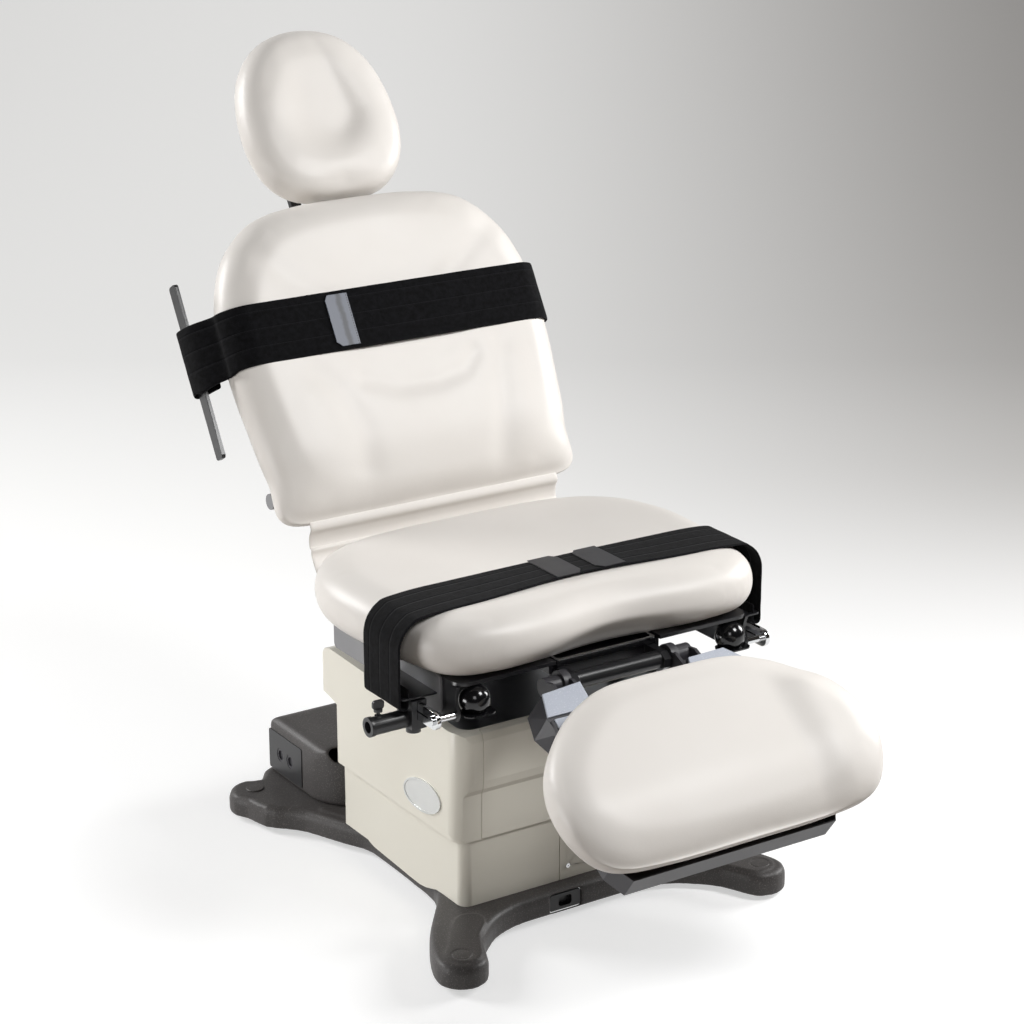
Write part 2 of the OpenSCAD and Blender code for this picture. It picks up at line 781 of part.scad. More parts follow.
// Vinyl web that closes the gap between seat and back, with folds across it
module hinge_cloth() color("#e4e0da") {
    drop = open_curve([[120.7, 498.6], [129, 501], [140, 504], [157, 514], [172, 532], [183, 550], [184, 561],
        [191, 570], [188, 581], [195.5, 596]], 3);
    along_x(-254, 254) ribbon(drop, 2.4);
}

module accessory_rails() color("#c6c8ca")
    both_sides() along_x(rail_x, rail_x + rail_t)
        translate([rail_front + rail_len / 2, rail_z]) difference() {
            rounded(rail_len, rail_h, rail_h / 2 - 0.5);
            for (s = [-1, 1]) translate([s * (rail_len / 2 - rod_in), 0]) circle(3.5 + fit);
        }

module rail_standoffs() color("#b4b6b8")
    both_sides() for (y = rod_places) translate([0, y, rail_z]) {
        rod(frame_x, rail_x, 6);
        rod(rail_x, rail_x + rail_t, 3.5);
        rod(rail_x + rail_t, rail_x + rail_t + 4, 8);
    }

// Black plates under the cushion edge with a slot for the seat strap
module strap_anchors() color("#1c1c1d")
    both_sides() difference() {
        translate([0, 0, anchor_z]) linear_extrude(3) union() {
            translate([(frame_x + 4 + anchor_edge) / 2, -226])
                rounded(anchor_edge - frame_x - 4, 118, 8);
            translate([frame_x + 4, -285]) square([12, 118]);
        }
        box(slot_in, slot_out, -226 - strap_w / 2 - 2, -226 + strap_w / 2 + 2, 460, 480);
    }

// Half path of the seat strap as (x, z): tail, turn under the plate, side and top
module seat_strap() color("#1a1a1b") {
    r = seat_t / 2 + 4.6;
    edge = strap_side - r;
    tail = strap_side - 14.5;
    side = concat([[tail, 488], [tail, 464]],
        [for (a = [180 : 45 : 360]) [strap_side - 7.25 + 7.25 * cos(a), 460 + 7.25 * sin(a)]],
        [[strap_side, 500]],
        [for (a = [0 : 15 : 75]) [edge + r * cos(a), mid_z + r * sin(a)]],
        [[edge - 40, mid_z + r + 2], [150, mid_z + r + 3], [0, mid_z + r + 3.4]]);
    whole = concat(side, [for (i = [len(side) - 2 : -1 : 0]) [-side[i][0], side[i][1]]]);
    translate([0, -226 + strap_w / 2, 0]) rotate([90, 0, 0]) linear_extrude(strap_w)
        ribbon(whole, strap_t);
    for (x = [-22, 48]) translate([x, -226, mid_z + r + 3.4 + strap_t / 2]) linear_extrude(2)
        rounded(44, strap_w - 10, 5);
}

module stirrup_sleeves() color("#141415")
    both_sides() difference() {
        box(cup_x - 17, cup_x + 11, -322, -40, stirrup_z - 14, web_top);
        box(cup_x - 13.4, cup_x + 7.4, -323, -38, stirrup_z - 10.4, stirrup_z + 10.4);
    }

// Bar in its sleeve with a domed end that stands on a thin flange
module stirrup() {
    half = stirrup_bar / 2;
    box(cup_x - 3 - half, cup_x - 3 + half, -328, -150, stirrup_z - half, stirrup_z + half);
    intersection() {
        translate([cup_x, -334, stirrup_z - 3]) sphere(r = 26);
        box(cup_x - 30, cup_x + 30, -362, -323, stirrup_z - 21, stirrup_z + 30);
    }
    translate([0, 0, stirrup_z - 22.5]) linear_extrude(2.5) translate([cup_x, -342])
        rounded(56, 38, 12);
}

module stirrup_left() color("#0c0c0e") mirror([1, 0, 0]) stirrup();

module stirrup_right() color("#0c0c0e") stirrup();

// Clamp block hooked over the left rail, with a socket tube for a post
module rail_clamp() color("#1d1d1f")
    translate([0, clamp_y, 0]) difference() {
        union() {
            box(-rail_x - rail_t - 10, -rail_x + 9, -23, 23, 418, 466.5);
            translate([-rail_x - 2, 0, 406]) cylinder(r = 12, h = 14);
            translate([0, 0, socket_z]) rod(-socket_end, -rail_x - rail_t - 9, socket_r);
            translate([0, 0, socket_z]) rod(-socket_end, -socket_end + 8, socket_r + 1.2);
            translate([-screw_x, 0, socket_z]) cylinder(r = 6, h = socket_r + 2);
        }
        box(-rail_x - rail_t - gap, -rail_x + gap, -60, 60, rail_z - rail_h / 2 - gap,
            rail_z + rail_h / 2 + gap);
        box(-rail_x, -rail_x + 10, -60, 60, rail_z - 8, rail_z + 8);
        translate([0, 0, socket_z]) rod(-socket_end - 1, -socket_end + 56, socket_bore_r);
        translate([-screw_x, 0, socket_z]) cylinder(r = 3 + fit, h = 40);
    }

module clamp_screw() color("#2a2a2c")
    translate([-screw_x, clamp_y, socket_z]) {
        translate([0, 0, socket_bore_r + 0.5]) cylinder(r = 3, h = socket_r + 8 - socket_bore_r);
        translate([0, 0, socket_r + 8]) difference() {
            cylinder(r = 7, h = 5);
        }
        translate([0, 0, socket_r + 12.5]) rotate([90, 0, 0]) translate([0, 0, -2.5])
            linear_extrude(5) translate([0, 7]) rounded(20, 15, 5);
    }

// Shallow pan that slides out on ledges under the seat
module pan() color("#1f2022")
    difference() {
        box(-pan_x, pan_x, pan_front, -70, pan_bottom, pan_bottom + pan_h);
        translate([0, (pan_front - 70) / 2, pan_bottom + 1.5]) linear_extrude(20)
            rounded(2 * pan_x - 4, -70 - pan_front - 4, 10);
    }

module pan_rim() color("#cfd1d3")
    translate([0, (pan_front - 70) / 2, pan_bottom + pan_h]) linear_extrude(2) difference() {
        rounded(2 * pan_x + 2, -68 - pan_front, 6);
        rounded(2 * pan_x - 8, -78 - pan_front, 8);
    }

// Back arms on the recline shaft, behind the board
module back_arms() color("#232325")
    at_back() both_sides() along_x(150, 162) difference() {
        union() {
            translate([-recline_n, recline_s]) circle(26);
            polygon([[-recline_n - 24, recline_s + 8], [-recline_n - 8, recline_s + 25],
                [arm_n, -34], [arm_n, 400], [arm_n + 16, 400], [arm_n + 24, 40],
                [-recline_n + 25, recline_s - 6]]);
        }
        translate([-recline_n, recline_s]) circle(recline_shaft_r + fit);
        for (s = [120, 200, 280]) translate([arm_n + 10, s]) circle(4);
        translate([arm_n + 12, 58]) circle(9 + fit);
    }

back_half = [[0, 36], [150, 36], [228, 44], [246, 66], [256, 110], [263, 171], [269, 233],
    [271, 290], [269, 350], [259, 395], [240, 440], [214, 470], [176, 494], [100, 506], [0, 508]];
back_mid = 272;
function centred(half, mid) = [for (p = half) [p[0], p[1] - mid]];

module back_board() color("#2a2a2c")
    at_back() translate([0, arm_n, back_mid]) rotate([90, 0, 0]) linear_extrude(back_board_t)
        difference() {
            polygon(moved_out(loop_curve(mirrored(centred(back_half, back_mid)), 2), -6));
            for (x = [-100, 100], y = [-120, 120]) translate([x, y]) circle(6);
        }

// Moulded rear shell over the frame, stepped in towards its back
module back_shell() color("#29292b")
    at_back() difference() {
        union() {
            for (k = [0 : 2]) translate([0, arm_n + shell_t * [0, 0.45, 0.8][k], 276])
                rotate([-90, 0, 0]) linear_extrude(shell_t * [0.45, 0.35, 0.2][k])
                    mirror([0, 1, 0]) rounded(400 - 24 * k, 396 - 24 * k, 60 - 6 * k);
            // guide of the head post
            box(-post_in - post_w - 12, post_in + post_w + 12, arm_n + shell_t - 4,
                post_n + post_t + 6, 345, 420);
        }
        // room for the arms and the two bars of the head post
        both_sides() box(149, 163, arm_n - 1, arm_n + 24.5, 50, 401);
        both_sides() box(post_in - 0.3, post_in + post_w + 0.3, post_n - 0.3, post_n + post_t + 0.3,
            200, 500);
    }

module back_cushion() color("#e9e5e0") {
    core = loop_curve(mirrored(centred(back_half, back_mid)), 2);
    relief = function (p)
        -7 * bump(abs(p[0]) - 108, 34) * bump(p[1] + 130, 75)
        - 8 * bump(norm([p[0] / 1.5, p[1] + 5]) - 62, 22) * (p[1] < 15 ? 1 : 0.3)
        - 6 * bump(abs(p[0]) - 175, 40) * bump(p[1] - 120, 60);
    at_back() translate([0, 0, back_mid]) rotate([90, 0, 0]) upholstery(core, back_t, 3, relief);
}

module cross_tube() color("#77797c")
    at_back() translate([0, arm_n + 12, 58]) {
        rod(-264, 264, 9);
        both_sides() rod(264, 275, 14);
    }

// Flat bars beside the back that the chest strap loops round
module side_bars() color("#19191b")
    at_back() {
        mirror([1, 0, 0]) side_bar(bar_left);
        side_bar(bar_right);
    }

module side_bar(x) {
    along_x(x - 3.5, x + 3.5) translate([board_n + 7, bar_low_s + bar_len / 2])
        rounded(25, bar_len, 6);
    box(206, x - 3.5, arm_n, arm_n + 4, 300, 345);
}

// Strap from the free end behind one bar, round the bar and forward to the middle of the back
function strap_half(bar) =
    let (r = back_t / 2 + 3.2, edge = 271)
    concat([[bar - 47, -board_n - 28], [bar - 13, -board_n - 31], [bar + 5, -board_n - 28],
            [bar + 12, -board_n - 18], [bar + 11, -board_n], [max(bar + 3, edge + r + 4), -26]],
        [for (a = [2 : 17 : 88]) [edge + (r + 2) * cos(a), r * sin(a)]],
        [[230, r + 1], [120, r + 1.6], [0, r + 2]]);

module chest_strap() color("#1a1a1b")
    at_back() {
        left = strap_half(bar_left);
        whole = concat(strap_half(bar_right),
            [for (i = [len(left) - 2 : -1 : 0]) [-left[i][0], left[i][1]]]);
        translate([0, 0, 325 - strap_w / 2]) linear_extrude(strap_w)
            mirror([0, 1, 0]) ribbon(whole, strap_t);
    }

module strap_slide() color("#6d7480")
    at_back() translate([-108, -back_t / 2 - 5.2 - strap_t / 2, 325]) rotate([90, 0, 0])
        linear_extrude(2.5) difference() {
            rounded(44, 96, 5);
            translate([12, 0]) rounded(5, 70, 2);
        }

module head_post() color("#18181a")
    at_back() difference() {
        union() {
            both_sides() along_x(post_in, post_in + post_w) {
                translate([post_n + post_t / 2, head_axis_s]) circle(13);
                translate([post_n, 230]) square([post_t, head_axis_s - 230]);
            }
            box(-post_in - 1, post_in + 1, post_n + 2, post_n + post_t - 2, head_axis_s - 62,
                head_axis_s - 44);
        }
        translate([0, post_n + post_t / 2, head_axis_s]) rod(-80, 80, 6 + fit);
    }

module head_bracket() color("#18181a") {
    at_back() translate([0, post_n + post_t / 2, head_axis_s])
        rod(-post_in - post_w - 4, post_in + post_w + 4, 6);
    difference() {
        union() {
            at_head() translate([0, head_t / 2 + 9, 0]) rotate([90, 0, 0]) linear_extrude(9)
                rounded(120, 150, 20);
            at_back() both_sides() along_x(post_in - 12, post_in - gap) union() {
                translate([post_n + post_t / 2, head_axis_s]) circle(13);
                polygon([[post_n + post_t / 2, head_axis_s - 13], [post_n + post_t / 2, head_axis_s + 13],
                    [64, head_axis_s + 40], [64, head_axis_s - 34]]);
            }
        }
    }
}

head_half = [[0, -101], [60, -99], [93, -78], [109, -41], [112, -5], [107, 42], [93, 85], [68, 117],
    [37, 133], [0, 138]];

// Dish of the head pad, open towards the top and deepest at its lower rim
function head_dish(x, y) =
    let (r = y < 10 ? norm([x / 66, (y - 10) / 62]) : abs(x) / (66 - 0.28 * (y - 10)))
    13 * (1 - 0.0045 * (y + 50)) / (1 + pow(r, 8));

module head_cushion() color("#e9e5e0") {
    core = loop_curve(mirrored(head_half), 2);
    relief = function (p) -head_dish(p[0], p[1]);
    at_head() rotate([90, 0, 0]) upholstery(core, head_t, 4, relief);
}

// Prism between two outlines with the same number of points
module tapered(low, high, from, to) {
    n = len(low);
    polyhedron([for (p = low) [p[0], p[1], from], for (p = high) [p[0], p[1], to]],
        concat([[for (i = [0 : n - 1]) i], [for (i = [n - 1 : -1 : 0]) n + i]],
            [for (i = [0 : n - 1]) [i, n + i, n + (i + 1) % n]],
            [for (i = [0 : n - 1]) [i, n + (i + 1) % n, (i + 1) % n]]));
}

// Folded arms of the foot section with knuckles on the hinge tube and a wide shoulder each
module foot_arms() color("#2f2f33")
    at_foot() {
        both_sides() difference() {
            union() {
                along_x(knuckle_in, arm_in + 6) circle(22);
                along_x(arm_in, 142) circle(16);
                for (x = [knuckle_in, 136]) along_x(x, x + 6) polygon([[0, 16], [-12, 27],
                    [-36, shoulder_n - 2], [-40, 0], [-8, -14]]);
                along_x(arm_in, arm_out) polygon([[-78, arm_top_n], [-290, arm_top_n],
                    [-290, 14], [-250, 5], [-78, 5]]);
            }
            rod(0, arm_in, hinge_tube_r + fit);
            along_x(arm_in + 5, arm_out - 5) polygon([[-122, 9], [-122, arm_top_n - 4],
                [-286, arm_top_n - 4], [-286, 18], [-250, 9]]);
        }
        tapered([[-98, -30], [-191, -42], [-200, -83], [-186, -116], [-98, -116]],
            concat(shoulder_right, [[-180, -102], [-98, -102]]), -5, shoulder_n);
        tapered([[181, -34], [98, -42], [98, -83], [98, -116], [206, -116], [206, -56]],
            concat(shoulder_left, [[98, -102], [206, -102], [206, -51]]), -5, shoulder_n);
    }

shoulder_n = 33.4;
shoulder_right = [[-98, -23], [-173, -29], [-185, -71]];
shoulder_left = [[181, -27], [110, -29], [98, -71]];

// Light covers on the shoulders and on the arms
module arm_covers() color("#b4bac6")
    at_foot() {
        translate([0, 0, shoulder_n]) linear_extrude(3.6) {
            polygon(concat(shoulder_right, [[-98, -71]]));
            polygon(concat(shoulder_left, [[206, -71], [206, -51]]));
        }
        both_sides() box(arm_in + 2, arm_out - 2, -110, -80, arm_top_n, arm_top_n + 2.4);
    }

// Folded tray under the foot upholstery that slides out along the arms
module foot_tray() color("#3b3a3d")
    at_foot() {
        low = pad_seat_n - board_t - tray_h + 1;
        translate([0, 0, low]) difference() {
            linear_extrude(tray_h - 1) tray_plan(0);
            translate([0, 0, 2.5]) linear_extrude(tray_h) tray_plan(2.5);
            box(-arm_out - 4, arm_out + 4, -tray_in_s - 4, -tray_in_s + 10, -1, tray_h + 1);
            for (s = [-1, 1]) box(s > 0 ? arm_in - 4 : -arm_out - 4, s > 0 ? arm_out + 4 : 4 - arm_in,
                -300, -tray_in_s + 10, -1, 6);
        }
    }

module tray_plan(inset) {
    polygon([[-186 + inset, -tray_in_s - inset], [186 - inset, -tray_in_s - inset],
        [tray_x - inset, -tray_in_s - 90], [tray_x - inset, -tray_out_s + 34],
        [tray_x - 20 - inset / 2, -tray_out_s + inset], [20 + inset / 2 - tray_x, -tray_out_s + inset],
        [inset - tray_x, -tray_out_s + 34], [inset - tray_x, -tray_in_s - 90]]);
}

module foot_board() color("#c9a877")
    at_foot() translate([0, 0, pad_seat_n - board_t]) linear_extrude(board_t)
        polygon(moved_out(foot_core, -8));

foot_half = [[0, 77], [104, 74], [150, 60], [188, 38], [230, -2], [253, -42], [258, -84],
    [246, -124], [218, -145], [120, -152], [0, -152]];
foot_core_mid = 190;
foot_core = [for (p = loop_curve(mirrored([for (q = [len(foot_half) - 1 : -1 : 0]) foot_half[q]]), 2))
    [p[0], p[1] - foot_core_mid]];

module foot_cushion() color("#e9e5e0") {
    core = loop_curve(mirrored([for (q = [len(foot_half) - 1 : -1 : 0]) foot_half[q]]), 2);
    relief = function (p)
        5 * bump(abs(p[0]) - 200, 50) + 4 * bump(p[1] + 120, 40)
        - 8 * bump(p[0], 190) * bump(p[1] - 10, 90);
    at_foot() translate([0, -foot_core_mid, foot_mid_n]) upholstery(core, foot_t, 4, relief);
}

base_cover();
base_frame();
levelling_feet();
leg_caps();
foot_control_socket();
electronics_housing();
power_supply();
outlet_plate();
outlets();
lower_shroud_left();
lower_shroud_right();
shroud_screws();
lift_column_base();
lift_motor();
middle_shroud_outer();
lift_column_second();
middle_shroud_inner();
lift_column_third();
upper_shroud();
front_panel();
badge_plate();
lift_column_top();
tilt_bracket();
tilt_motor();
rest_bumpers();
seat_frame();
tilt_shaft();
side_skirts();
seat_board();
seat_cushion();
hinge_cloth();
recline_shaft();
foot_hinge_tube();
accessory_rails();
rail_standoffs();
strap_anchors();
seat_strap();
stirrup_sleeves();
rail_clamp();
clamp_screw();
pan();
pan_rim();
stirrup_left();
stirrup_right();
back_arms();
back_board();
back_shell();
back_cushion();
cross_tube();
side_bars();
chest_strap();
strap_slide();
head_post();
head_bracket();
head_cushion();
foot_arms();
arm_covers();
foot_tray();
foot_board();
foot_cushion();
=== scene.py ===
# Looks of the powered procedure chair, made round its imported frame.
# Metres, +Z up, front towards -Y. Sizes taken over from the source are written in millimetres.
import json
import math

import bmesh
import bpy
from mathutils import Matrix, Vector, noise


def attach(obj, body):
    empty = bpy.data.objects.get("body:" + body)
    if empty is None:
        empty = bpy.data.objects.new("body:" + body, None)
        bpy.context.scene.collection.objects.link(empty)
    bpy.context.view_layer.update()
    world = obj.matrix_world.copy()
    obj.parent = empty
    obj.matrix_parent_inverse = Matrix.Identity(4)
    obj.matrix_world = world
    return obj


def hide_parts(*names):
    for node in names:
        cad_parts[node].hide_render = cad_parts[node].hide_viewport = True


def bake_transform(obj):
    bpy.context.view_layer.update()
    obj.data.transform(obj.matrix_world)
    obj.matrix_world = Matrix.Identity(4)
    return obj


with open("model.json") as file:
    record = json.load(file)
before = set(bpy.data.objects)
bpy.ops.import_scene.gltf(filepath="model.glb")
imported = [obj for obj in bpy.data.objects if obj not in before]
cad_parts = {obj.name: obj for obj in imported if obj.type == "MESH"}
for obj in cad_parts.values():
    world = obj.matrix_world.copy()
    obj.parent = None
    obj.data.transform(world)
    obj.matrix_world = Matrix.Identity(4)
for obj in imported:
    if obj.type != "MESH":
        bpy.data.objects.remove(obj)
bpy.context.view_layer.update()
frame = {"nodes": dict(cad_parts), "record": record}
MM = 0.001
nodes = frame["nodes"]
# the straps' fine unevenness is the same on each run
noise.seed_set(1)

# Camera, solved from symmetric pairs of points in the photograph.
camera_data = bpy.data.cameras.new("camera")
camera_data.lens = 96.75
camera_data.sensor_width = 36
camera = bpy.data.objects.new("camera", camera_data)
camera.location = (-2.3744, -3.7118, 2.1536)
CAMERA_TURN = math.radians(-33)
camera.rotation_euler = (math.radians(71), 0, CAMERA_TURN)
bpy.context.collection.objects.link(camera)
bpy.context.scene.camera = camera


# Materials.
def linear(code):
    """An sRGB hex colour as linear red, green, blue, alpha."""
    parts = [int(code[i:i + 2], 16) / 255 for i in (1, 3, 5)]
    return [c / 12.92 if c <= 0.04045 else ((c + 0.055) / 1.055) ** 2.4 for c in parts] + [1.0]


def add(tree, kind, settings=None, links=None):
    """Adds a node. Lower-case settings are the node's own, others are its inputs' values."""
    node = tree.nodes.new("ShaderNode" + kind)
    for key, value in (settings or {}).items():
        if isinstance(key, str) and key[0].islower():
            setattr(node, key, value)
        else:
            node.inputs[key].default_value = value
    for key, socket in (links or {}).items():
        tree.links.new(socket, node.inputs[key])
    return node


def per_mm(size):
    """Texture scale of a pattern whose features are this many millimetres across."""
    return 1000 / size


def new_material(name):
    material = bpy.data.materials.new(name)
    material.use_nodes = True
    material.node_tree.nodes.clear()
    return material, material.node_tree


def finish_with(tree, shader):
    output = tree.nodes.new("ShaderNodeOutputMaterial")
    tree.links.new(shader.outputs[0], output.inputs["Surface"])


def moulded(name, light, dark, tone_mm, rough, rough_swing, grain_mm, grain_depth, cells=False,
            speck=None, **own):
    """A surface with a slow drift of tone and gloss and an even fine grain in relief.

    Sizes and depth of the grain are in millimetres. A speck is its colour, size and threshold.
    """
    material, tree = new_material(name)
    spot = add(tree, "TexCoord").outputs["Object"]
    drift = add(tree, "TexNoise", {"Scale": per_mm(tone_mm), "Detail": 4.0}, {"Vector": spot})
    colour = add(tree, "Mix", {"data_type": "RGBA", 6: linear(light), 7: linear(dark)},
                 {0: drift.outputs["Fac"]})
    tint = colour.outputs[2]
    # specks of a given colour laid over the tint; on the base they are painted glints
    if speck:
        speck_noise = add(tree, "TexNoise", {"Scale": per_mm(speck[1]), "Detail": 2.0}, {"Vector": spot})
        chosen = add(tree, "MapRange", {"From Min": speck[2], "From Max": speck[2] + 0.12},
                     {"Value": speck_noise.outputs["Fac"]})
        tint = add(tree, "Mix", {"data_type": "RGBA", 7: linear(speck[0])},
                   {0: chosen.outputs[0], 6: tint}).outputs[2]
    gloss = add(tree, "MapRange", {"To Min": rough - rough_swing, "To Max": rough + rough_swing},
                {"Value": drift.outputs["Fac"]})
    if cells:
        grain = add(tree, "TexVoronoi", {"Scale": per_mm(grain_mm)}, {"Vector": spot}).outputs[0]
    else:
        grain = add(tree, "TexNoise", {"Scale": per_mm(grain_mm), "Detail": 3.0},
                    {"Vector": spot}).outputs[0]
    relief = add(tree, "Bump", {"Strength": 1.0, "Distance": grain_depth * MM}, {"Height": grain})
    shader = add(tree, "BsdfPrincipled", own,
                 {"Base Color": tint, "Roughness": gloss.outputs[0], "Normal": relief.outputs[0]})
    finish_with(tree, shader)
    return material


# Polyurethane-coated vinyl, moulded over foam: soft satin sheen, faint skin grain drawn at 3 mm
# because the real 0.6 mm grain doesn't show at this size.
vinyl = moulded("coated_vinyl", "#EBE7E2", "#E4DFD9", 140, 0.42, 0.03, 3.0, 0.035, cells=True,
                **{"Specular IOR Level": 0.45, "Sheen Weight": 0.08, "Sheen Roughness": 0.4})
# Injection-moulded ABS, semi-gloss cream with slight orange peel.
shell_abs = moulded("moulded_abs_cream", "#EEEBDF", "#E8E4D7", 220, 0.33, 0.03, 9.0, 0.02,
                    **{"IOR": 1.53})
# Rotary-textured ABS of the base: coarse spark-eroded grain, whose glints are painted as small
# light specks.
base_abs = moulded("spark_textured_abs", "#423F3E", "#383534", 90, 0.52, 0.05, 3.0, 0.11,
                   speck=("#5C5856", 2.2, 0.56), **{"IOR": 1.5})
# Gloss black ABS under the seat.
gloss_black = moulded("gloss_black_abs", "#0D0D0F", "#111113", 120, 0.16, 0.04, 12.0, 0.01,
                      **{"IOR": 1.52})
satin_black = moulded("satin_black_nylon", "#1C1C1E", "#232325", 80, 0.36, 0.05, 1.4, 0.03)
# Semi-gloss powder coat on welded steel, with its fine orange peel.
powder_black = moulded("powder_coat_black", "#161618", "#1C1C1F", 100, 0.3, 0.05, 2.6, 0.035)
powder_charcoal = moulded("powder_coat_charcoal", "#3D3C40", "#343337", 110, 0.44, 0.05, 1.6, 0.06)
skirt_grey = moulded("satin_grey_abs", "#8A8A8C", "#7F7F82", 90, 0.4, 0.04, 2.2, 0.02)
# Leather-grained ABS of the arm covers, pale blue-grey.
cover_abs = moulded("grained_abs_blue_grey", "#B6BBC6", "#A9AFBB", 60, 0.47, 0.04, 2.0, 0.14,
                    speck=("#C6CAD3", 2.4, 0.58))
# Tinted PVC of the strap slides.
slide_pvc = moulded("tinted_pvc", "#666C78", "#555A65", 30, 0.45, 0.05, 4.0, 0.03)
rubber = moulded("moulded_rubber", "#A68C69", "#94795A", 40, 0.75, 0.05, 1.5, 0.08)
dark_rubber = moulded("black_rubber", "#1E1D1D", "#272626", 40, 0.7, 0.05, 1.5, 0.06)
primer = moulded("primed_steel", "#3A3A3C", "#464648", 70, 0.55, 0.08, 2.0, 0.05)
chrome = moulded("chrome_plate", "#D9DADB", "#CFD0D2", 60, 0.09, 0.03, 20.0, 0.01,
                 **{"Metallic": 1.0})
ground_steel = moulded("ground_steel", "#B4B6B8", "#A3A5A8", 25, 0.24, 0.05, 1.2, 0.01,
                       **{"Metallic": 1.0})
anodised = moulded("anodised_aluminium", "#9A9CA0", "#8D8F94", 60, 0.38, 0.04, 1.3, 0.012,
                   **{"Metallic": 1.0})
plate = moulded("satin_foil_plate", "#E3E4E2", "#D6D8D6", 40, 0.3, 0.04, 5.0, 0.01,
                **{"Metallic": 0.35})
motor_paint = moulded("satin_motor_paint", "#2E2F32", "#26272A", 60, 0.42, 0.05, 2.0, 0.04)


def plywood_material():
    """Birch plywood: long pale bands of grain along X, 4 mm apart."""
    material, tree = new_material("birch_plywood")
    spot = add(tree, "TexCoord").outputs["Object"]
    stretched = add(tree, "Mapping", {"Scale": (0.08, 1, 1)}, {"Vector": spot})
    bands = add(tree, "TexNoise", {"Scale": per_mm(4), "Detail": 6.0},
                {"Vector": stretched.outputs[0]})
    tint = add(tree, "Mix", {"data_type": "RGBA", 6: linear("#CDAE7D"), 7: linear("#B08C5A")},
               {0: bands.outputs[0]})
    relief = add(tree, "Bump", {"Distance": 0.0001}, {"Height": bands.outputs[0]})
    finish_with(tree, add(tree, "BsdfPrincipled", {"Roughness": 0.6},
                          {"Base Color": tint.outputs[2], "Normal": relief.outputs[0]}))
    return material


plywood = plywood_material()


def strap_material():
    """Brushed loop tape: matt felt of dark fibres, with rows of lockstitch along the strap."""
    material, tree = new_material("brushed_loop_tape")
    place = add(tree, "UVMap", {"uv_map": "along"}).outputs[0]
    spot = add(tree, "TexCoord").outputs["Object"]
    fibre = add(tree, "TexNoise", {"Scale": per_mm(2.2), "Detail": 6.0, "Roughness": 0.75},
                {"Vector": spot})
    clumps = add(tree, "TexNoise", {"Scale": per_mm(9), "Detail": 3.0}, {"Vector": spot})
    tuft = add(tree, "Math", {"operation": "MULTIPLY_ADD", 1: 0.6},
               {0: fibre.outputs[0], 2: clumps.outputs[0]})
    tone = add(tree, "MapRange", {"From Min": 0.6, "From Max": 1.1}, {"Value": tuft.outputs[0]})
    felt = add(tree, "Mix", {"data_type": "RGBA", 6: linear("#050506"), 7: linear("#141417")},
               {0: tone.outputs[0]})
    axes = add(tree, "SeparateXYZ", {}, {0: place})
    # a stitch row every 31 mm across the strap, in dashes 5 mm long
    rows = add(tree, "Math", {"operation": "PINGPONG", 1: 0.0155}, {0: axes.outputs[1]})
    on_row = add(tree, "Math", {"operation": "LESS_THAN", 1: 0.0007}, {0: rows.outputs[0]})
    dash = add(tree, "Math", {"operation": "PINGPONG", 1: 0.0026}, {0: axes.outputs[0]})
    on_dash = add(tree, "Math", {"operation": "GREATER_THAN", 1: 0.0006}, {0: dash.outputs[0]})
    stitch = add(tree, "Math", {"operation": "MULTIPLY"},
                 {0: on_row.outputs[0], 1: on_dash.outputs[0]})
    thread = add(tree, "Mix", {"data_type": "RGBA", 7: linear("#1B1B1E")},
                 {0: stitch.outputs[0], 6: felt.outputs[2]})
    # the rows sink the felt
    dip = add(tree, "MapRange", {"From Max": 0.003, "To Min": -1.5, "To Max": 0.0},
              {"Value": rows.outputs[0]})
    height = add(tree, "Math", {"operation": "ADD"}, {0: tuft.outputs[0], 1: dip.outputs[0]})
    relief = add(tree, "Bump", {"Distance": 0.0006}, {"Height": height.outputs[0]})
    finish_with(tree, add(tree, "BsdfPrincipled",
                          {"Roughness": 0.95, "Sheen Weight": 0.04, "Sheen Roughness": 0.6,
                           "Specular IOR Level": 0.08},
                          {"Base Color": thread.outputs[2], "Normal": relief.outputs[0]}))
    return material


loop_tape = strap_material()

SLOT_FINISH = {
    "upholstery": vinyl, "shroud": shell_abs, "base_plastic": base_abs,
    "black_plastic": gloss_black, "black_steel": powder_black, "charcoal_steel": powder_charcoal,
    "grey_plastic": skirt_grey, "arm_plastic": cover_abs, "strap": loop_tape,
    "slide_plastic": slide_pvc, "bright_steel": chrome, "shaft_steel": ground_steel,
    "column": anodised, "chassis_steel": primer, "pad_rubber": rubber, "plywood": plywood,
    "badge": plate, "motor": motor_paint,
}
OWN_FINISH = {
    "rail_clamp": satin_black, "clamp_screw": satin_black, "outlet_plate": satin_black,
    "outlets": powder_charcoal, "foot_control_socket": satin_black, "rest_bumpers": dark_rubber,
    "back_shell": satin_black, "back_board": satin_black,
}


def modify(piece, name, kind, **settings):
    """Adds a modifier with these settings."""
    modifier = piece.modifiers.new(name, kind)
    for key, value in settings.items():
        setattr(modifier, key, value)


def dress(node):
    """Gives a CAD node its finish and rounds its edges, by a bevel or, on a moulding, all over."""
    piece = nodes[node]
    finish = OWN_FINISH.get(node, SLOT_FINISH[slots[node]])
    for material_slot in piece.material_slots:
        material_slot.material = finish
    if node in EDGES or node in MOULDED:
        modify(piece, "weld", "WELD", merge_threshold=1e-5)
    if node in EDGES:
        modify(piece, "edges", "BEVEL", width=EDGES[node] * MM, segments=3, limit_method="ANGLE",
               angle_limit=BEVEL_FROM, harden_normals=True)
    if node in MOULDED:
        modify(piece, "even", "REMESH", mode="VOXEL", voxel_size=MOULDED_VOXEL,
               use_smooth_shade=True)
        modify(piece, "soften", "SMOOTH", factor=0.5, iterations=MOULDED[node])


slots = {part["node"]: part["material_slot"] for part in frame["record"]["subparts"]}
BEVEL_FROM = math.radians(34)
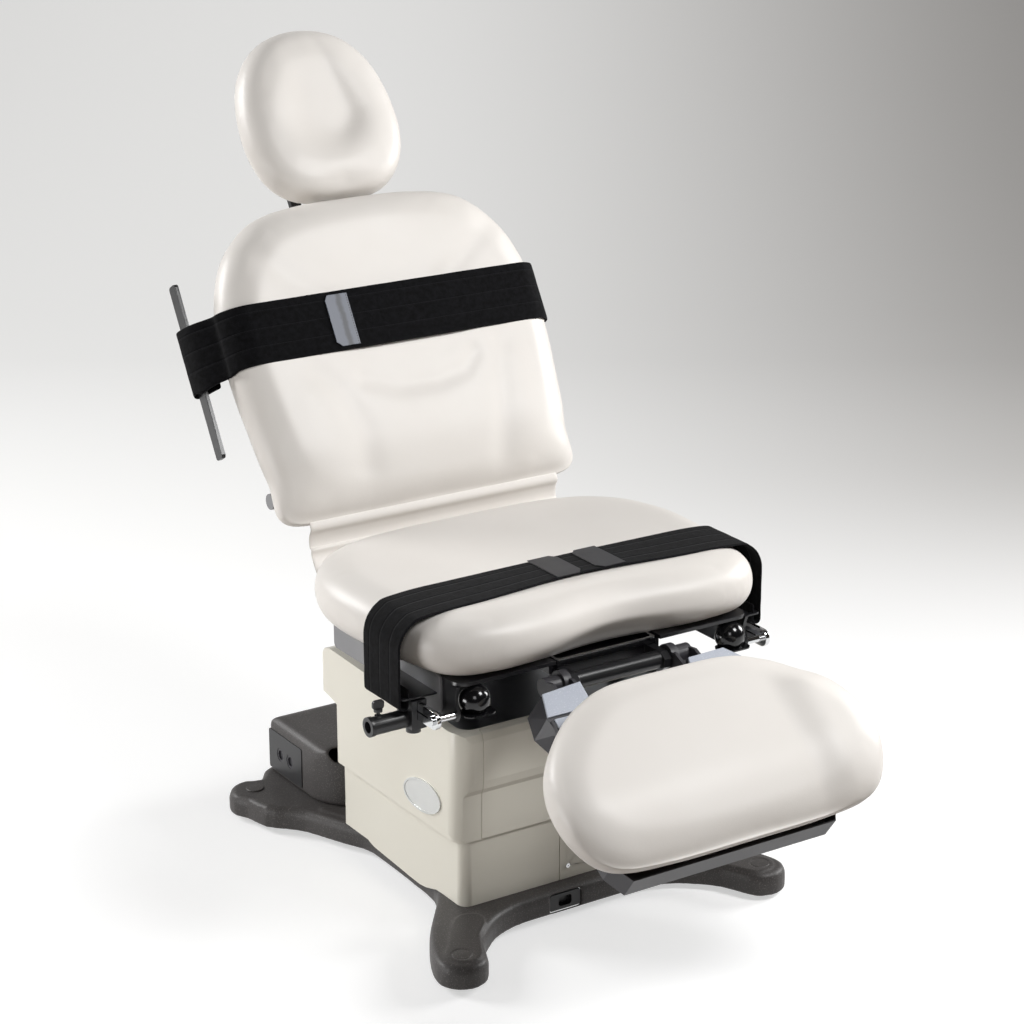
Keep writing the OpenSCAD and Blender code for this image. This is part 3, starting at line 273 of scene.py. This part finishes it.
# edge widths in millimetres
EDGES = {"rail_clamp": 1.2, "foot_tray": 1.2, "foot_arms": 1.5, "arm_covers": 1.0,
         "accessory_rails": 0.8, "seat_frame": 0.8, "stirrup_left": 2.0, "stirrup_right": 2.0,
         "back_shell": 2.0, "side_bars": 1.0, "outlet_plate": 0.6, "outlets": 0.5,
         "foot_control_socket": 1.2, "clamp_screw": 0.7, "badge_plate": 0.4, "pan": 0.8,
         "upper_shroud": 1.5, "front_panel": 1.5, "lower_shroud_left": 0.8,
         "lower_shroud_right": 0.8, "strap_anchors": 0.5, "side_skirts": 0.8,
         "head_bracket": 0.8, "head_post": 0.8, "back_arms": 1.0, "tilt_motor": 1.5,
         "base_frame": 1.0}
MOULDED_VOXEL = 2.5 * MM
# passes of smoothing that take the facets off the soft, grained mouldings
MOULDED = {"base_cover": 6, "electronics_housing": 26}
for node in nodes:
    dress(node)


# Helpers for shapes.
def finish_piece(name, bm, material, body, replaced=(), smooth=True):
    """Makes the mesh an object of its own that rides on a body and stands for CAD nodes."""
    mesh = bpy.data.meshes.new(name)
    bm.to_mesh(mesh)
    bm.free()
    piece = bpy.data.objects.new(name, mesh)
    bpy.context.collection.objects.link(piece)
    mesh.materials.append(material)
    for face in mesh.polygons:
        face.use_smooth = smooth
    if body:
        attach(piece, body)
    if replaced:
        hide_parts(*replaced)
    return piece


def only_verts(geometry):
    return [item for item in geometry if isinstance(item, bmesh.types.BMVert)]


def shade_smooth(mesh):
    for face in mesh.polygons:
        face.use_smooth = True


def apply_modifiers(piece):
    """Turns what the modifiers make into the piece's own mesh."""
    shown = piece.evaluated_get(bpy.context.evaluated_depsgraph_get())
    mesh = bpy.data.meshes.new_from_object(shown)
    piece.modifiers.clear()
    piece.data = mesh


def cubic(a, b, c, d, t):
    """Catmull-Rom spline through b and c."""
    return 0.5 * (2 * b + (c - a) * t + (2 * a - 5 * b + 4 * c - d) * t * t
                  + (3 * b - a - 3 * c + d) * t ** 3)


def closed_curve(points, steps):
    """A smooth closed curve through key points, in metres."""
    count = len(points)
    return [Vector([cubic(*(points[(i + k) % count][axis] for k in (-1, 0, 1, 2)), s / steps) * MM
                    for axis in (0, 1)])
            for i in range(count) for s in range(steps)]


def mirrored(half):
    """A full outline from its right half, which starts and ends on the middle line."""
    return half + [(-x, y) for x, y in reversed(half) if x > 0.01]


def moved_out(curve, distance):
    """The closed curve moved outwards along its normals."""
    moved = []
    for i, point in enumerate(curve):
        run = curve[(i + 1) % len(curve)] - curve[i - 1]
        moved.append(point + Vector((run.y, -run.x)).normalized() * distance)
    return moved


def bump(x, wide):
    """A soft hill: 1 at zero, falling off over the given width."""
    return math.exp(-(x / wide) ** 2)


def smooth_step(low, high, x):
    """0 before low, 1 past high and an S curve between them."""
    t = min(max((x - low) / (high - low), 0.0), 1.0)
    return t * t * (3 - 2 * t)


# Upholstery: four moulded foam pads.
def foam_pad(name, half, thickness, place, carve, body, node, crown=0.47):
    """A moulded foam pad: an outline extruded and rounded, inflated as cloth, then sculpted."""
    t = thickness * MM
    core = closed_curve(mirrored(half), 4)
    bm = bmesh.new()
    outline = [bm.verts.new((p.x, p.y, -t / 2)) for p in moved_out(core, t / 2)]
    base = bm.faces.new(outline)
    raised = bmesh.ops.extrude_face_region(bm, geom=[base])["geom"]
    bmesh.ops.translate(bm, vec=(0, 0, t), verts=only_verts(raised))
    bmesh.ops.recalc_face_normals(bm, faces=bm.faces[:])
    for rim, share in ((t / 2, crown), (-t / 2, 0.47)):
        edges = [e for e in bm.edges if all(abs(v.co.z - rim) < 1e-6 for v in e.verts)
                 and len({f.normal.z > 0.9 or f.normal.z < -0.9 for f in e.link_faces}) == 2]
        bmesh.ops.bevel(bm, geom=edges, offset=share * t, segments=8, profile=0.5,
                        affect="EDGES", clamp_overlap=True, material=-1)
    piece = finish_piece(name, bm, vinyl, None)
    modify(piece, "even", "REMESH", mode="VOXEL", voxel_size=6.5 * MM)
    apply_modifiers(piece)
    inflate(piece, 4 * MM)
    bm = bmesh.new()
    bm.from_mesh(piece.data)
    for _ in range(6):
        bmesh.ops.smooth_vert(bm, verts=bm.verts[:], factor=0.5, use_axis_x=True,
                              use_axis_y=True, use_axis_z=True)
    for v in bm.verts:
        x, y, z = v.co / MM
        v.co = Vector(carve(x, y, z)) * MM
    bmesh.ops.transform(bm, matrix=place, verts=bm.verts[:])
    bm.to_mesh(piece.data)
    bm.free()
    shade_smooth(piece.data)
    piece.data.materials.clear()
    piece.data.materials.append(vinyl)
    modify(piece, "fine", "SUBSURF", levels=1, render_levels=1)
    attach(piece, body)
    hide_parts(node)


def inflate(piece, most):
    """Blows the cover out from inside for a few frames and caps how far a point moves."""
    start = [v.co.copy() for v in piece.data.vertices]
    cloth = piece.modifiers.new("cloth", "CLOTH")
    cloth.settings.use_pressure = True
    cloth.settings.uniform_pressure_force = 4
    cloth.settings.tension_stiffness = 40
    cloth.settings.compression_stiffness = 40
    cloth.settings.bending_stiffness = 8
    cloth.settings.effector_weights.gravity = 0
    cloth.settings.quality = 4
    cloth.collision_settings.use_collision = False
    scene = bpy.context.scene
    for step in range(1, 9):
        scene.frame_set(step)
    shown = piece.evaluated_get(bpy.context.evaluated_depsgraph_get())
    moved = [v.co.copy() for v in shown.data.vertices]
    piece.modifiers.clear()
    scene.frame_set(1)
    for vertex, a, b in zip(piece.data.vertices, start, moved):
        step = b - a
        vertex.co = a + step * (min(step.length, most) / max(step.length, 1e-9))


def turned(x, y, z, degrees):
    """Placement in millimetres with a turn about X."""
    return (Matrix.Translation(Vector((x, y, z)) * MM)
            @ Matrix.Rotation(math.radians(degrees), 4, "X"))


def along(y=0, z=0, x=0):
    """Placement in millimetres without a turn."""
    return Matrix.Translation(Vector((x, y, z)) * MM)


# places of the pads and their right halves as outlines, from the part's source
UPRIGHT = Matrix.Rotation(math.radians(90), 4, "X")
AT_BACK = turned(0, 198, 610, -31)
AT_HEAD = turned(0, 579, 1205, -33)
AT_FOOT = turned(0, -363, 473, 36)
SEAT_MID = 550.5
SEAT_THICK, BACK_THICK, HEAD_THICK, FOOT_THICK = 95, 96, 81, 86

SEAT_HALF = [(0, -218), (140, -218), (222, -211), (268, -190), (286, -140), (301, -66),
             (307, 30), (298, 92), (268, 150), (212, 186), (130, 200), (0, 201)]
BACK_MID = 272
BACK_HALF = [(x, s - BACK_MID) for x, s in (
    (0, 36), (150, 36), (228, 44), (246, 66), (256, 110), (263, 171), (269, 233), (271, 290),
    (269, 350), (259, 395), (240, 440), (214, 470), (176, 494), (100, 506), (0, 508))]
HEAD_HALF = [(0, -101), (60, -99), (93, -78), (109, -41), (112, -5), (107, 42), (93, 85),
             (68, 117), (37, 133), (0, 138)]
FOOT_HALF = [(0, -153), (120, -153), (218, -146), (245, -124), (256, -84), (251, -42),
             (228, -4), (186, 35), (149, 56), (104, 70), (0, 73)]


def near_line(points, x, y):
    """Distance from a spot to a chain of points."""
    best = 1e9
    for (ax, ay), (bx, by) in zip(points, points[1:]):
        length = (bx - ax) ** 2 + (by - ay) ** 2
        t = min(max(((x - ax) * (bx - ax) + (y - ay) * (by - ay)) / length, 0.0), 1.0)
        best = min(best, math.hypot(x - ax - t * (bx - ax), y - ay - t * (by - ay)))
    return best


# Each carve takes and gives a point of its pad in millimetres, with z out of the padded face.
def seat_carve(x, y, z):
    top = smooth_step(0, 30, z)
    under = smooth_step(10, -30, z)
    front = smooth_step(-150, -255, y)
    z += top * (2 - 4 * bump(x, 130) * bump(y + 50, 150))
    # the front edge draws back and lifts over the pan
    z += 14 * under * smooth_step(-212, -250, y) * bump(x - 20, 165)
    y += 24 * front * bump(x - 10, 120)
    return x, y, z


# lines of the folds in the back's cover, each with its depth and width
BACK_FOLDS = (
    ([(-256, 230), (-184, 140), (-118, 92)], 2.8, 24),
    ([(252, 196), (180, 146), (112, 98)], 3.2, 22),
    ([(-178, -36), (-142, -77), (-122, -144), (-130, -205)], 3.4, 27),
    ([(192, -30), (170, -110), (140, -225)], 3.2, 24),
    ([(-94, -56), (-30, -79), (51, -81), (106, -70), (136, -42)], 3.6, 19),
)


def back_carve(x, y, z):
    top = smooth_step(0, 34, z)
    # dish behind the shoulders that ends in a roll for the loins
    r = math.hypot((x - 12) / 128, (y - 30) / (112 if y < 30 else 150))
    z -= top * 7 / (1 + r ** 7)
    for line, depth, wide in BACK_FOLDS:
        z -= top * depth * bump(near_line(line, x, y), wide)
    # side wings, a little fuller below; the face falls back over its lowest third
    z += top * 3 * bump(abs(x) - 205, 38) * smooth_step(0, -80, y)
    z -= top * 24 * smooth_step(-130, -295, y) ** 1.5
    # square lower corners
    corner = smooth_step(200, 285, abs(x)) * smooth_step(-190, -262, y)
    return x + math.copysign(22 * corner, x), y - 14 * corner, z


def head_carve(x, y, z):
    top = smooth_step(0, 30, z)
    # dish open towards the top and deepest at its lower rim
    right = smooth_step(-45, 45, x)
    side = 80 - 14 * right
    r = math.hypot(x / side, (y - 10) / 62) if y < 10 else abs(x) / (side - 0.28 * (y - 10))
    z -= top * 16 * (1 - 0.0045 * (y + 50)) / (1 + r ** (4 + 2.5 * right))
    # fuller behind, so that its lower edge comes down to the back pad
    rear = smooth_step(12, -30, z)
    return x * (1 + 0.035 * rear), y - 6 * rear * smooth_step(0, -95, y), z


def foot_carve(x, y, z):
    top = smooth_step(0, 30, z)
    # the bolster at the right end; use has flattened the left one
    z += top * 12 * smooth_step(140, 210, x) * smooth_step(66, 10, y)
    # long roll-off over the lower edge
    z -= top * 20 * smooth_step(-60, -195, y) ** 1.5
    # the lower half is drawn in towards the board
    step = 6 * smooth_step(24, -70, z)
    return x * (1 - step / 301), y * (1 - step / (195 if y < 0 else 120)), z


foam_pad("seat_upholstery", SEAT_HALF, SEAT_THICK, along(-105, SEAT_MID), seat_carve,
         "seat", "seat_cushion")
foam_pad("back_upholstery", BACK_HALF, BACK_THICK, AT_BACK @ along(0, BACK_MID) @ UPRIGHT,
         back_carve, "back", "back_cushion")
foam_pad("head_upholstery", HEAD_HALF, HEAD_THICK, AT_HEAD @ UPRIGHT, head_carve,
         "head", "head_cushion")
foam_pad("foot_upholstery", FOOT_HALF, FOOT_THICK, AT_FOOT @ along(-190, 91), foot_carve,
         "foot_rest", "foot_cushion", crown=0.37)


# Bands of webbing and vinyl.
def open_curve(points, steps):
    """A smooth open curve through key points, in metres."""
    last = len(points) - 1
    curve = [Vector([cubic(points[max(i - 1, 0)][axis], points[i][axis], points[i + 1][axis],
                           points[min(i + 2, last)][axis], s / steps) * MM
                     for axis in range(len(points[0]))])
             for i in range(last) for s in range(steps)]
    return curve + [Vector(points[-1]) * MM]


def band(name, curve, across, thickness, material, body, replaced, columns=16, rough=0.0):
    """A band laid along a curve: a grid whose rows follow the curve and whose UV map is in metres.
    across(i, v) gives a point for curve point i and place v from -1 to 1 across the band."""
    bm = bmesh.new()
    layer = bm.loops.layers.uv.new("along")
    rows = len(curve)
    bmesh.ops.create_grid(bm, x_segments=rows - 1, y_segments=columns, size=1)
    reach = [0.0]
    for a, b in zip(curve, curve[1:]):
        reach.append(reach[-1] + (b - a).length)
    half = (across(0, 1) - across(0, -1)).length / 2
    for face in bm.faces:
        for loop in face.loops:
            i = round((loop.vert.co.x + 1) / 2 * (rows - 1))
            loop[layer].uv = (reach[i], loop.vert.co.y * half + half)
    for v in bm.verts:
        i = round((v.co.x + 1) / 2 * (rows - 1))
        spot = across(i, v.co.y)
        if rough:
            spot = spot + noise.noise_vector(spot * 60) * rough * MM
        v.co = spot
    piece = finish_piece(name, bm, material, body, replaced)
    modify(piece, "wall", "SOLIDIFY", thickness=thickness * MM, offset=0)
    modify(piece, "fine", "SUBSURF", levels=1, render_levels=1)
    return piece


def arc(mid_x, mid_y, radius, angles):
    """Points on an arc, at angles in degrees."""
    return [(mid_x + radius * math.cos(math.radians(a)), mid_y + radius * math.sin(math.radians(a)))
            for a in angles]


STRAP_THICK = 3.2
# Seat strap: tail through the plate's slot, round its edge, up the side and over the seat.
STRAP_SIDE = 355.5
SEAT_R = SEAT_THICK / 2 + 4.6
SEAT_EDGE = STRAP_SIDE - SEAT_R
SEAT_TOP = SEAT_MID + SEAT_R
strap_side = ([(341, 488), (341, 474), (341, 464)]
              + arc(348.25, 460, 7.25, range(180, 361, 30))
              + [(STRAP_SIDE, 480), (STRAP_SIDE, 500), (STRAP_SIDE, 525)]
              + arc(SEAT_EDGE, SEAT_MID, SEAT_R, range(0, 76, 15))
              + [(SEAT_EDGE - 40, SEAT_TOP + 2), (200, SEAT_TOP + 2.6), (150, SEAT_TOP + 3),
                 (75, SEAT_TOP + 3.3), (0, SEAT_TOP + 3.4)])
seat_path = open_curve(strap_side + [(-x, z) for x, z in reversed(strap_side[:-1])], 3)


def seat_across(i, v):
    p = seat_path[i]
    # pulled together and back in the middle, where the tabs lie
    pulled = bump(p.x, 0.15)
    front, rear = -0.283 + 0.024 * pulled, -0.170
    return Vector((p.x, (front + rear) / 2 + v * (rear - front) / 2, p.y))


band("seat_strap_web", [Vector((p.x, 0, p.y)) for p in seat_path], seat_across, STRAP_THICK,
     loop_tape, "seat", ["seat_strap"], rough=0.5)

# Chest strap: round the front of the back and about the bars on both sides.
BACK_R = BACK_THICK / 2 + 3.2


def chest_half(bar):
    """From the strap's free end behind one bar to the middle of the back."""
    return ([(bar - 47, -76), (bar - 13, -79), (bar + 5, -76), (bar + 12, -66), (bar + 11, -48),
             (max(bar + 3, 275 + BACK_R), -26)]
            + [(271 + (BACK_R + 2) * math.cos(math.radians(a)), BACK_R * math.sin(math.radians(a)))
               for a in range(2, 88, 17)]
            + [(230, BACK_R + 1), (175, BACK_R + 1.3), (120, BACK_R + 1.6), (60, BACK_R + 1.8),
               (0, BACK_R + 2)])


chest_path = open_curve(chest_half(319) + [(-x, n) for x, n in reversed(chest_half(349)[:-1])], 3)


def chest_across(i, v):
    p = chest_path[i]
    # the lower edge bunches where the strap turns round the left bar
    bunch = smooth_step(0.300, 0.352, -p.x) * (10 + 3 * math.sin(p.y * 130)) * max(0, -v) ** 2
    return AT_BACK @ Vector((p.x, -p.y, (325 + v * 54 - bunch) * MM))


band("chest_strap_web", [Vector((p.x, 0, p.y)) for p in chest_path], chest_across, STRAP_THICK,
     loop_tape, "back", ["chest_strap"], rough=0.5)


def tab(name, outline, thickness, place, material, body, replaced=()):
    """A thin plate from an outline, with soft edges."""
    bm = bmesh.new()
    face = bm.faces.new([bm.verts.new((x * MM, y * MM, 0)) for x, y in outline])
    raised = bmesh.ops.extrude_face_region(bm, geom=[face])["geom"]
    bmesh.ops.translate(bm, vec=(0, 0, thickness * MM), verts=only_verts(raised))
    bmesh.ops.recalc_face_normals(bm, faces=bm.faces[:])
    bmesh.ops.bevel(bm, geom=bm.edges[:], offset=0.3 * thickness * MM, segments=2, profile=0.5,
                    affect="EDGES", clamp_overlap=True, material=-1)
    bmesh.ops.transform(bm, matrix=place, verts=bm.verts[:])
    return finish_piece(name, bm, material, body, replaced, smooth=False)


def tab_material():
    """Clear PVC tab over felt: pale where it stands off, dark where it lies on, and stitched."""
    material, tree = new_material("clear_pvc_tab")
    spot = add(tree, "TexCoord").outputs["Object"]
    axes = add(tree, "SeparateXYZ", {}, {0: spot})
    cloud = add(tree, "TexNoise", {"Scale": per_mm(14), "Detail": 4.0}, {"Vector": spot})
    # 4 mm of waver on the border between the pale and the dark band
    waver = add(tree, "Math", {"operation": "MULTIPLY_ADD", 1: 0.008},
                {0: cloud.outputs[0], 2: axes.outputs[0]})
    lies_on = add(tree, "MapRange", {"interpolation_type": "SMOOTHSTEP", "From Min": -0.109,
                                     "From Max": -0.102}, {"Value": waver.outputs[0]})
    stands_off = add(tree, "MapRange", {"interpolation_type": "SMOOTHSTEP", "From Min": -0.099,
                                        "From Max": -0.092}, {"Value": waver.outputs[0]})
    band_mix = add(tree, "Math", {"operation": "SUBTRACT"},
                   {0: lies_on.outputs[0], 1: stands_off.outputs[0]})
    tint = add(tree, "Mix", {"data_type": "RGBA", 6: linear("#636874"), 7: linear("#383B42")},
               {0: band_mix.outputs[0]})
    # a stitch row 2 mm from the sewn edge, dashes 4 mm long
    on_row = add(tree, "Math", {"operation": "COMPARE", 1: -0.0885, 2: 0.0008},
                 {0: axes.outputs[0]})
    dash = add(tree, "Math", {"operation": "PINGPONG", 1: 0.002}, {0: axes.outputs[2]})
    on_dash = add(tree, "Math", {"operation": "GREATER_THAN", 1: 0.0008}, {0: dash.outputs[0]})
    stitch = add(tree, "Math", {"operation": "MULTIPLY"},
                 {0: on_row.outputs[0], 1: on_dash.outputs[0]})
    sewn = add(tree, "Mix", {"data_type": "RGBA", 7: linear("#1A1A1D")},
               {0: stitch.outputs[0], 6: tint.outputs[2]})
    relief = add(tree, "Bump", {"Distance": 0.0002}, {"Height": cloud.outputs[0]})
    finish_with(tree, add(tree, "BsdfPrincipled", {"Roughness": 0.45, "IOR": 1.53},
                          {"Base Color": sewn.outputs[2], "Normal": relief.outputs[0]}))
    return material


TAB = [(-22, -38), (-12, -47), (23, -47), (23, 47), (-16, 47), (-22, 38)]
tab("chest_tab", TAB, 2.0, AT_BACK @ along(-BACK_R - 3.4, 325, -109) @ UPRIGHT, tab_material(),
    "back", ["strap_slide"])
# Dark PVC of the two tabs on the seat strap.
dark_pvc = moulded("dark_pvc_tab", "#2D2D31", "#222226", 30, 0.4, 0.05, 4.0, 0.03)
SEAT_TAB = [(-26, -46), (16, -46), (26, -34), (26, 34), (16, 46), (-26, 46)]
tab("seat_tab_left", SEAT_TAB, 1.6, along(-214, SEAT_TOP + 5.0, -18), dark_pvc, "seat")
tab("seat_tab_right", [(-x, y) for x, y in reversed(SEAT_TAB)], 1.6,
    along(-214, SEAT_TOP + 5.0, 64), dark_pvc, "seat")

# Vinyl web between seat and back: a rolled edge, a welded seam and folds, laid from seat to back.
web_path = open_curve([(121.5, 499), (129, 501), (140, 504), (157, 514), (172, 532), (183, 550),
                       (184, 561), (189, 564), (191, 575), (189, 587), (184, 598), (189, 610)], 5)


def web_across(i, v):
    p = web_path[i]
    return Vector((v * 0.254, p.x, p.y))


web = band("hinge_web", [Vector((0, p.x, p.y)) for p in web_path], web_across, 2.0, vinyl, None,
           ["hinge_cloth"], columns=40)
apply_modifiers(web)
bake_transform(web)


# Studio: floor, wall, lamps and world.
def studio():
    """A pale seamless sweep: the floor and the wall behind the chair in one curve, 18 m wide."""
    bm = bmesh.new()
    floor_end, bend = 3.2, 2.2
    profile = ([(-6, 0), (floor_end, 0)]
               + [(floor_end + bend * math.sin(math.radians(a)),
                   bend - bend * math.cos(math.radians(a))) for a in range(10, 91, 10)]
               + [(floor_end + bend, 8)])
    chain = [bm.verts.new((-9, y, z)) for y, z in profile]
    edges = [bm.edges.new(pair) for pair in zip(chain, chain[1:])]
    raised = bmesh.ops.extrude_edge_only(bm, edges=edges)["geom"]
    bmesh.ops.translate(bm, vec=(18, 0, 0), verts=only_verts(raised))
    bmesh.ops.rotate(bm, verts=bm.verts[:], cent=(0, 0, 0),
                     matrix=Matrix.Rotation(CAMERA_TURN, 3, "Z"))
    mesh = bpy.data.meshes.new("sweep")
    bm.to_mesh(mesh)
    bm.free()
    sweep = bpy.data.objects.new("sweep", mesh)
    bpy.context.collection.objects.link(sweep)
    shade_smooth(mesh)
    material, tree = new_material("seamless_paper")
    spot = add(tree, "TexCoord").outputs["Object"]
    turned_spot = add(tree, "VectorRotate", {"rotation_type": "Z_AXIS", "Angle": -CAMERA_TURN},
                      {"Vector": spot}).outputs[0]
    axes = add(tree, "SeparateXYZ", {}, {0: turned_spot})
    bounce = add(tree, "BsdfDiffuse", {"Color": linear("#857C73")})
    # painted shade: the white floor is painted falling off to grey behind the chair, and darker to
    # the right, for the lamps' falloff
    right = add(tree, "MapRange", {"interpolation_type": "SMOOTHSTEP", "From Min": -0.7,
                                   "From Max": 2.1}, {"Value": axes.outputs[0]})
    far = add(tree, "MapRange", {"interpolation_type": "SMOOTHSTEP", "From Min": -0.1,
                                 "From Max": 2.3}, {"Value": axes.outputs[1]})
    wall = add(tree, "Mix", {"data_type": "RGBA", 6: linear("#E3E3E2"), 7: linear("#989694")},
               {0: right.outputs[0]})
    tone = add(tree, "Mix", {"data_type": "RGBA", 6: linear("#EDEDED")},
               {0: far.outputs[0], 7: wall.outputs[2]})
    matt = add(tree, "BsdfDiffuse", {}, {"Color": tone.outputs[2]})
    # the painted tone glows for camera and glossy rays, over a matt part that keeps the shadows
    glow = add(tree, "Emission", {"Strength": 2.1}, {"Color": tone.outputs[2]})
    both = add(tree, "MixShader", {0: 0.3}, {1: matt.outputs[0], 2: glow.outputs[0]})
    rays = add(tree, "LightPath")
    seen = add(tree, "Math", {"operation": "MAXIMUM"},
               {0: rays.outputs["Is Camera Ray"], 1: rays.outputs["Is Glossy Ray"]})
    mixed = add(tree, "MixShader", {}, {0: seen.outputs[0], 1: bounce.outputs[0],
                                        2: both.outputs[0]})
    finish_with(tree, mixed)
    mesh.materials.append(material)


def soft_box(name, place, target, size, power):
    """A rectangular lamp aimed at a spot, with its power in watts."""
    data = bpy.data.lights.new(name, "AREA")
    data.shape = "RECTANGLE"
    data.size, data.size_y = size
    data.energy = power
    lamp = bpy.data.objects.new(name, data)
    lamp.location = place
    lamp.rotation_euler = (Vector(target) - Vector(place)).to_track_quat("-Z", "Y").to_euler()
    bpy.context.collection.objects.link(lamp)


studio()
soft_box("key", (1.1, -2.1, 3.0), (0, 0.1, 0.8), (1.0, 1.0), 71)
soft_box("front_left", (-2.2, -3.6, 3.0), (0, 0, 0.8), (1.4, 1.4), 26)
soft_box("right", (3.6, -0.6, 1.8), (0, 0, 0.7), (1.4, 1.4), 108)
soft_box("rear_left", (-2.4, 3.0, 2.2), (0, 0, 0.7), (1.4, 1.6), 118)
soft_box("low_left", (-2.4, 0.2, 0.35), (0, 0, 0.25), (1.0, 0.5), 18)
world = bpy.data.worlds.new("room")
bpy.context.scene.world = world
world.use_nodes = True
room = world.node_tree
room.nodes.clear()
# a dim warm room for the chair's own light, shown pale where a view looks past the sweep
dim = add(room, "Background", {"Color": linear("#FFF3E6"), "Strength": 0.03})
pale = add(room, "Background", {"Color": linear("#DCDBD9"), "Strength": 1.0})
either = add(room, "MixShader", {}, {0: add(room, "LightPath").outputs["Is Camera Ray"],
                                     1: dim.outputs[0], 2: pale.outputs[0]})
room.links.new(either.outputs[0], room.nodes.new("ShaderNodeOutputWorld").inputs["Surface"])
bpy.context.scene.view_settings.view_transform = "Standard"
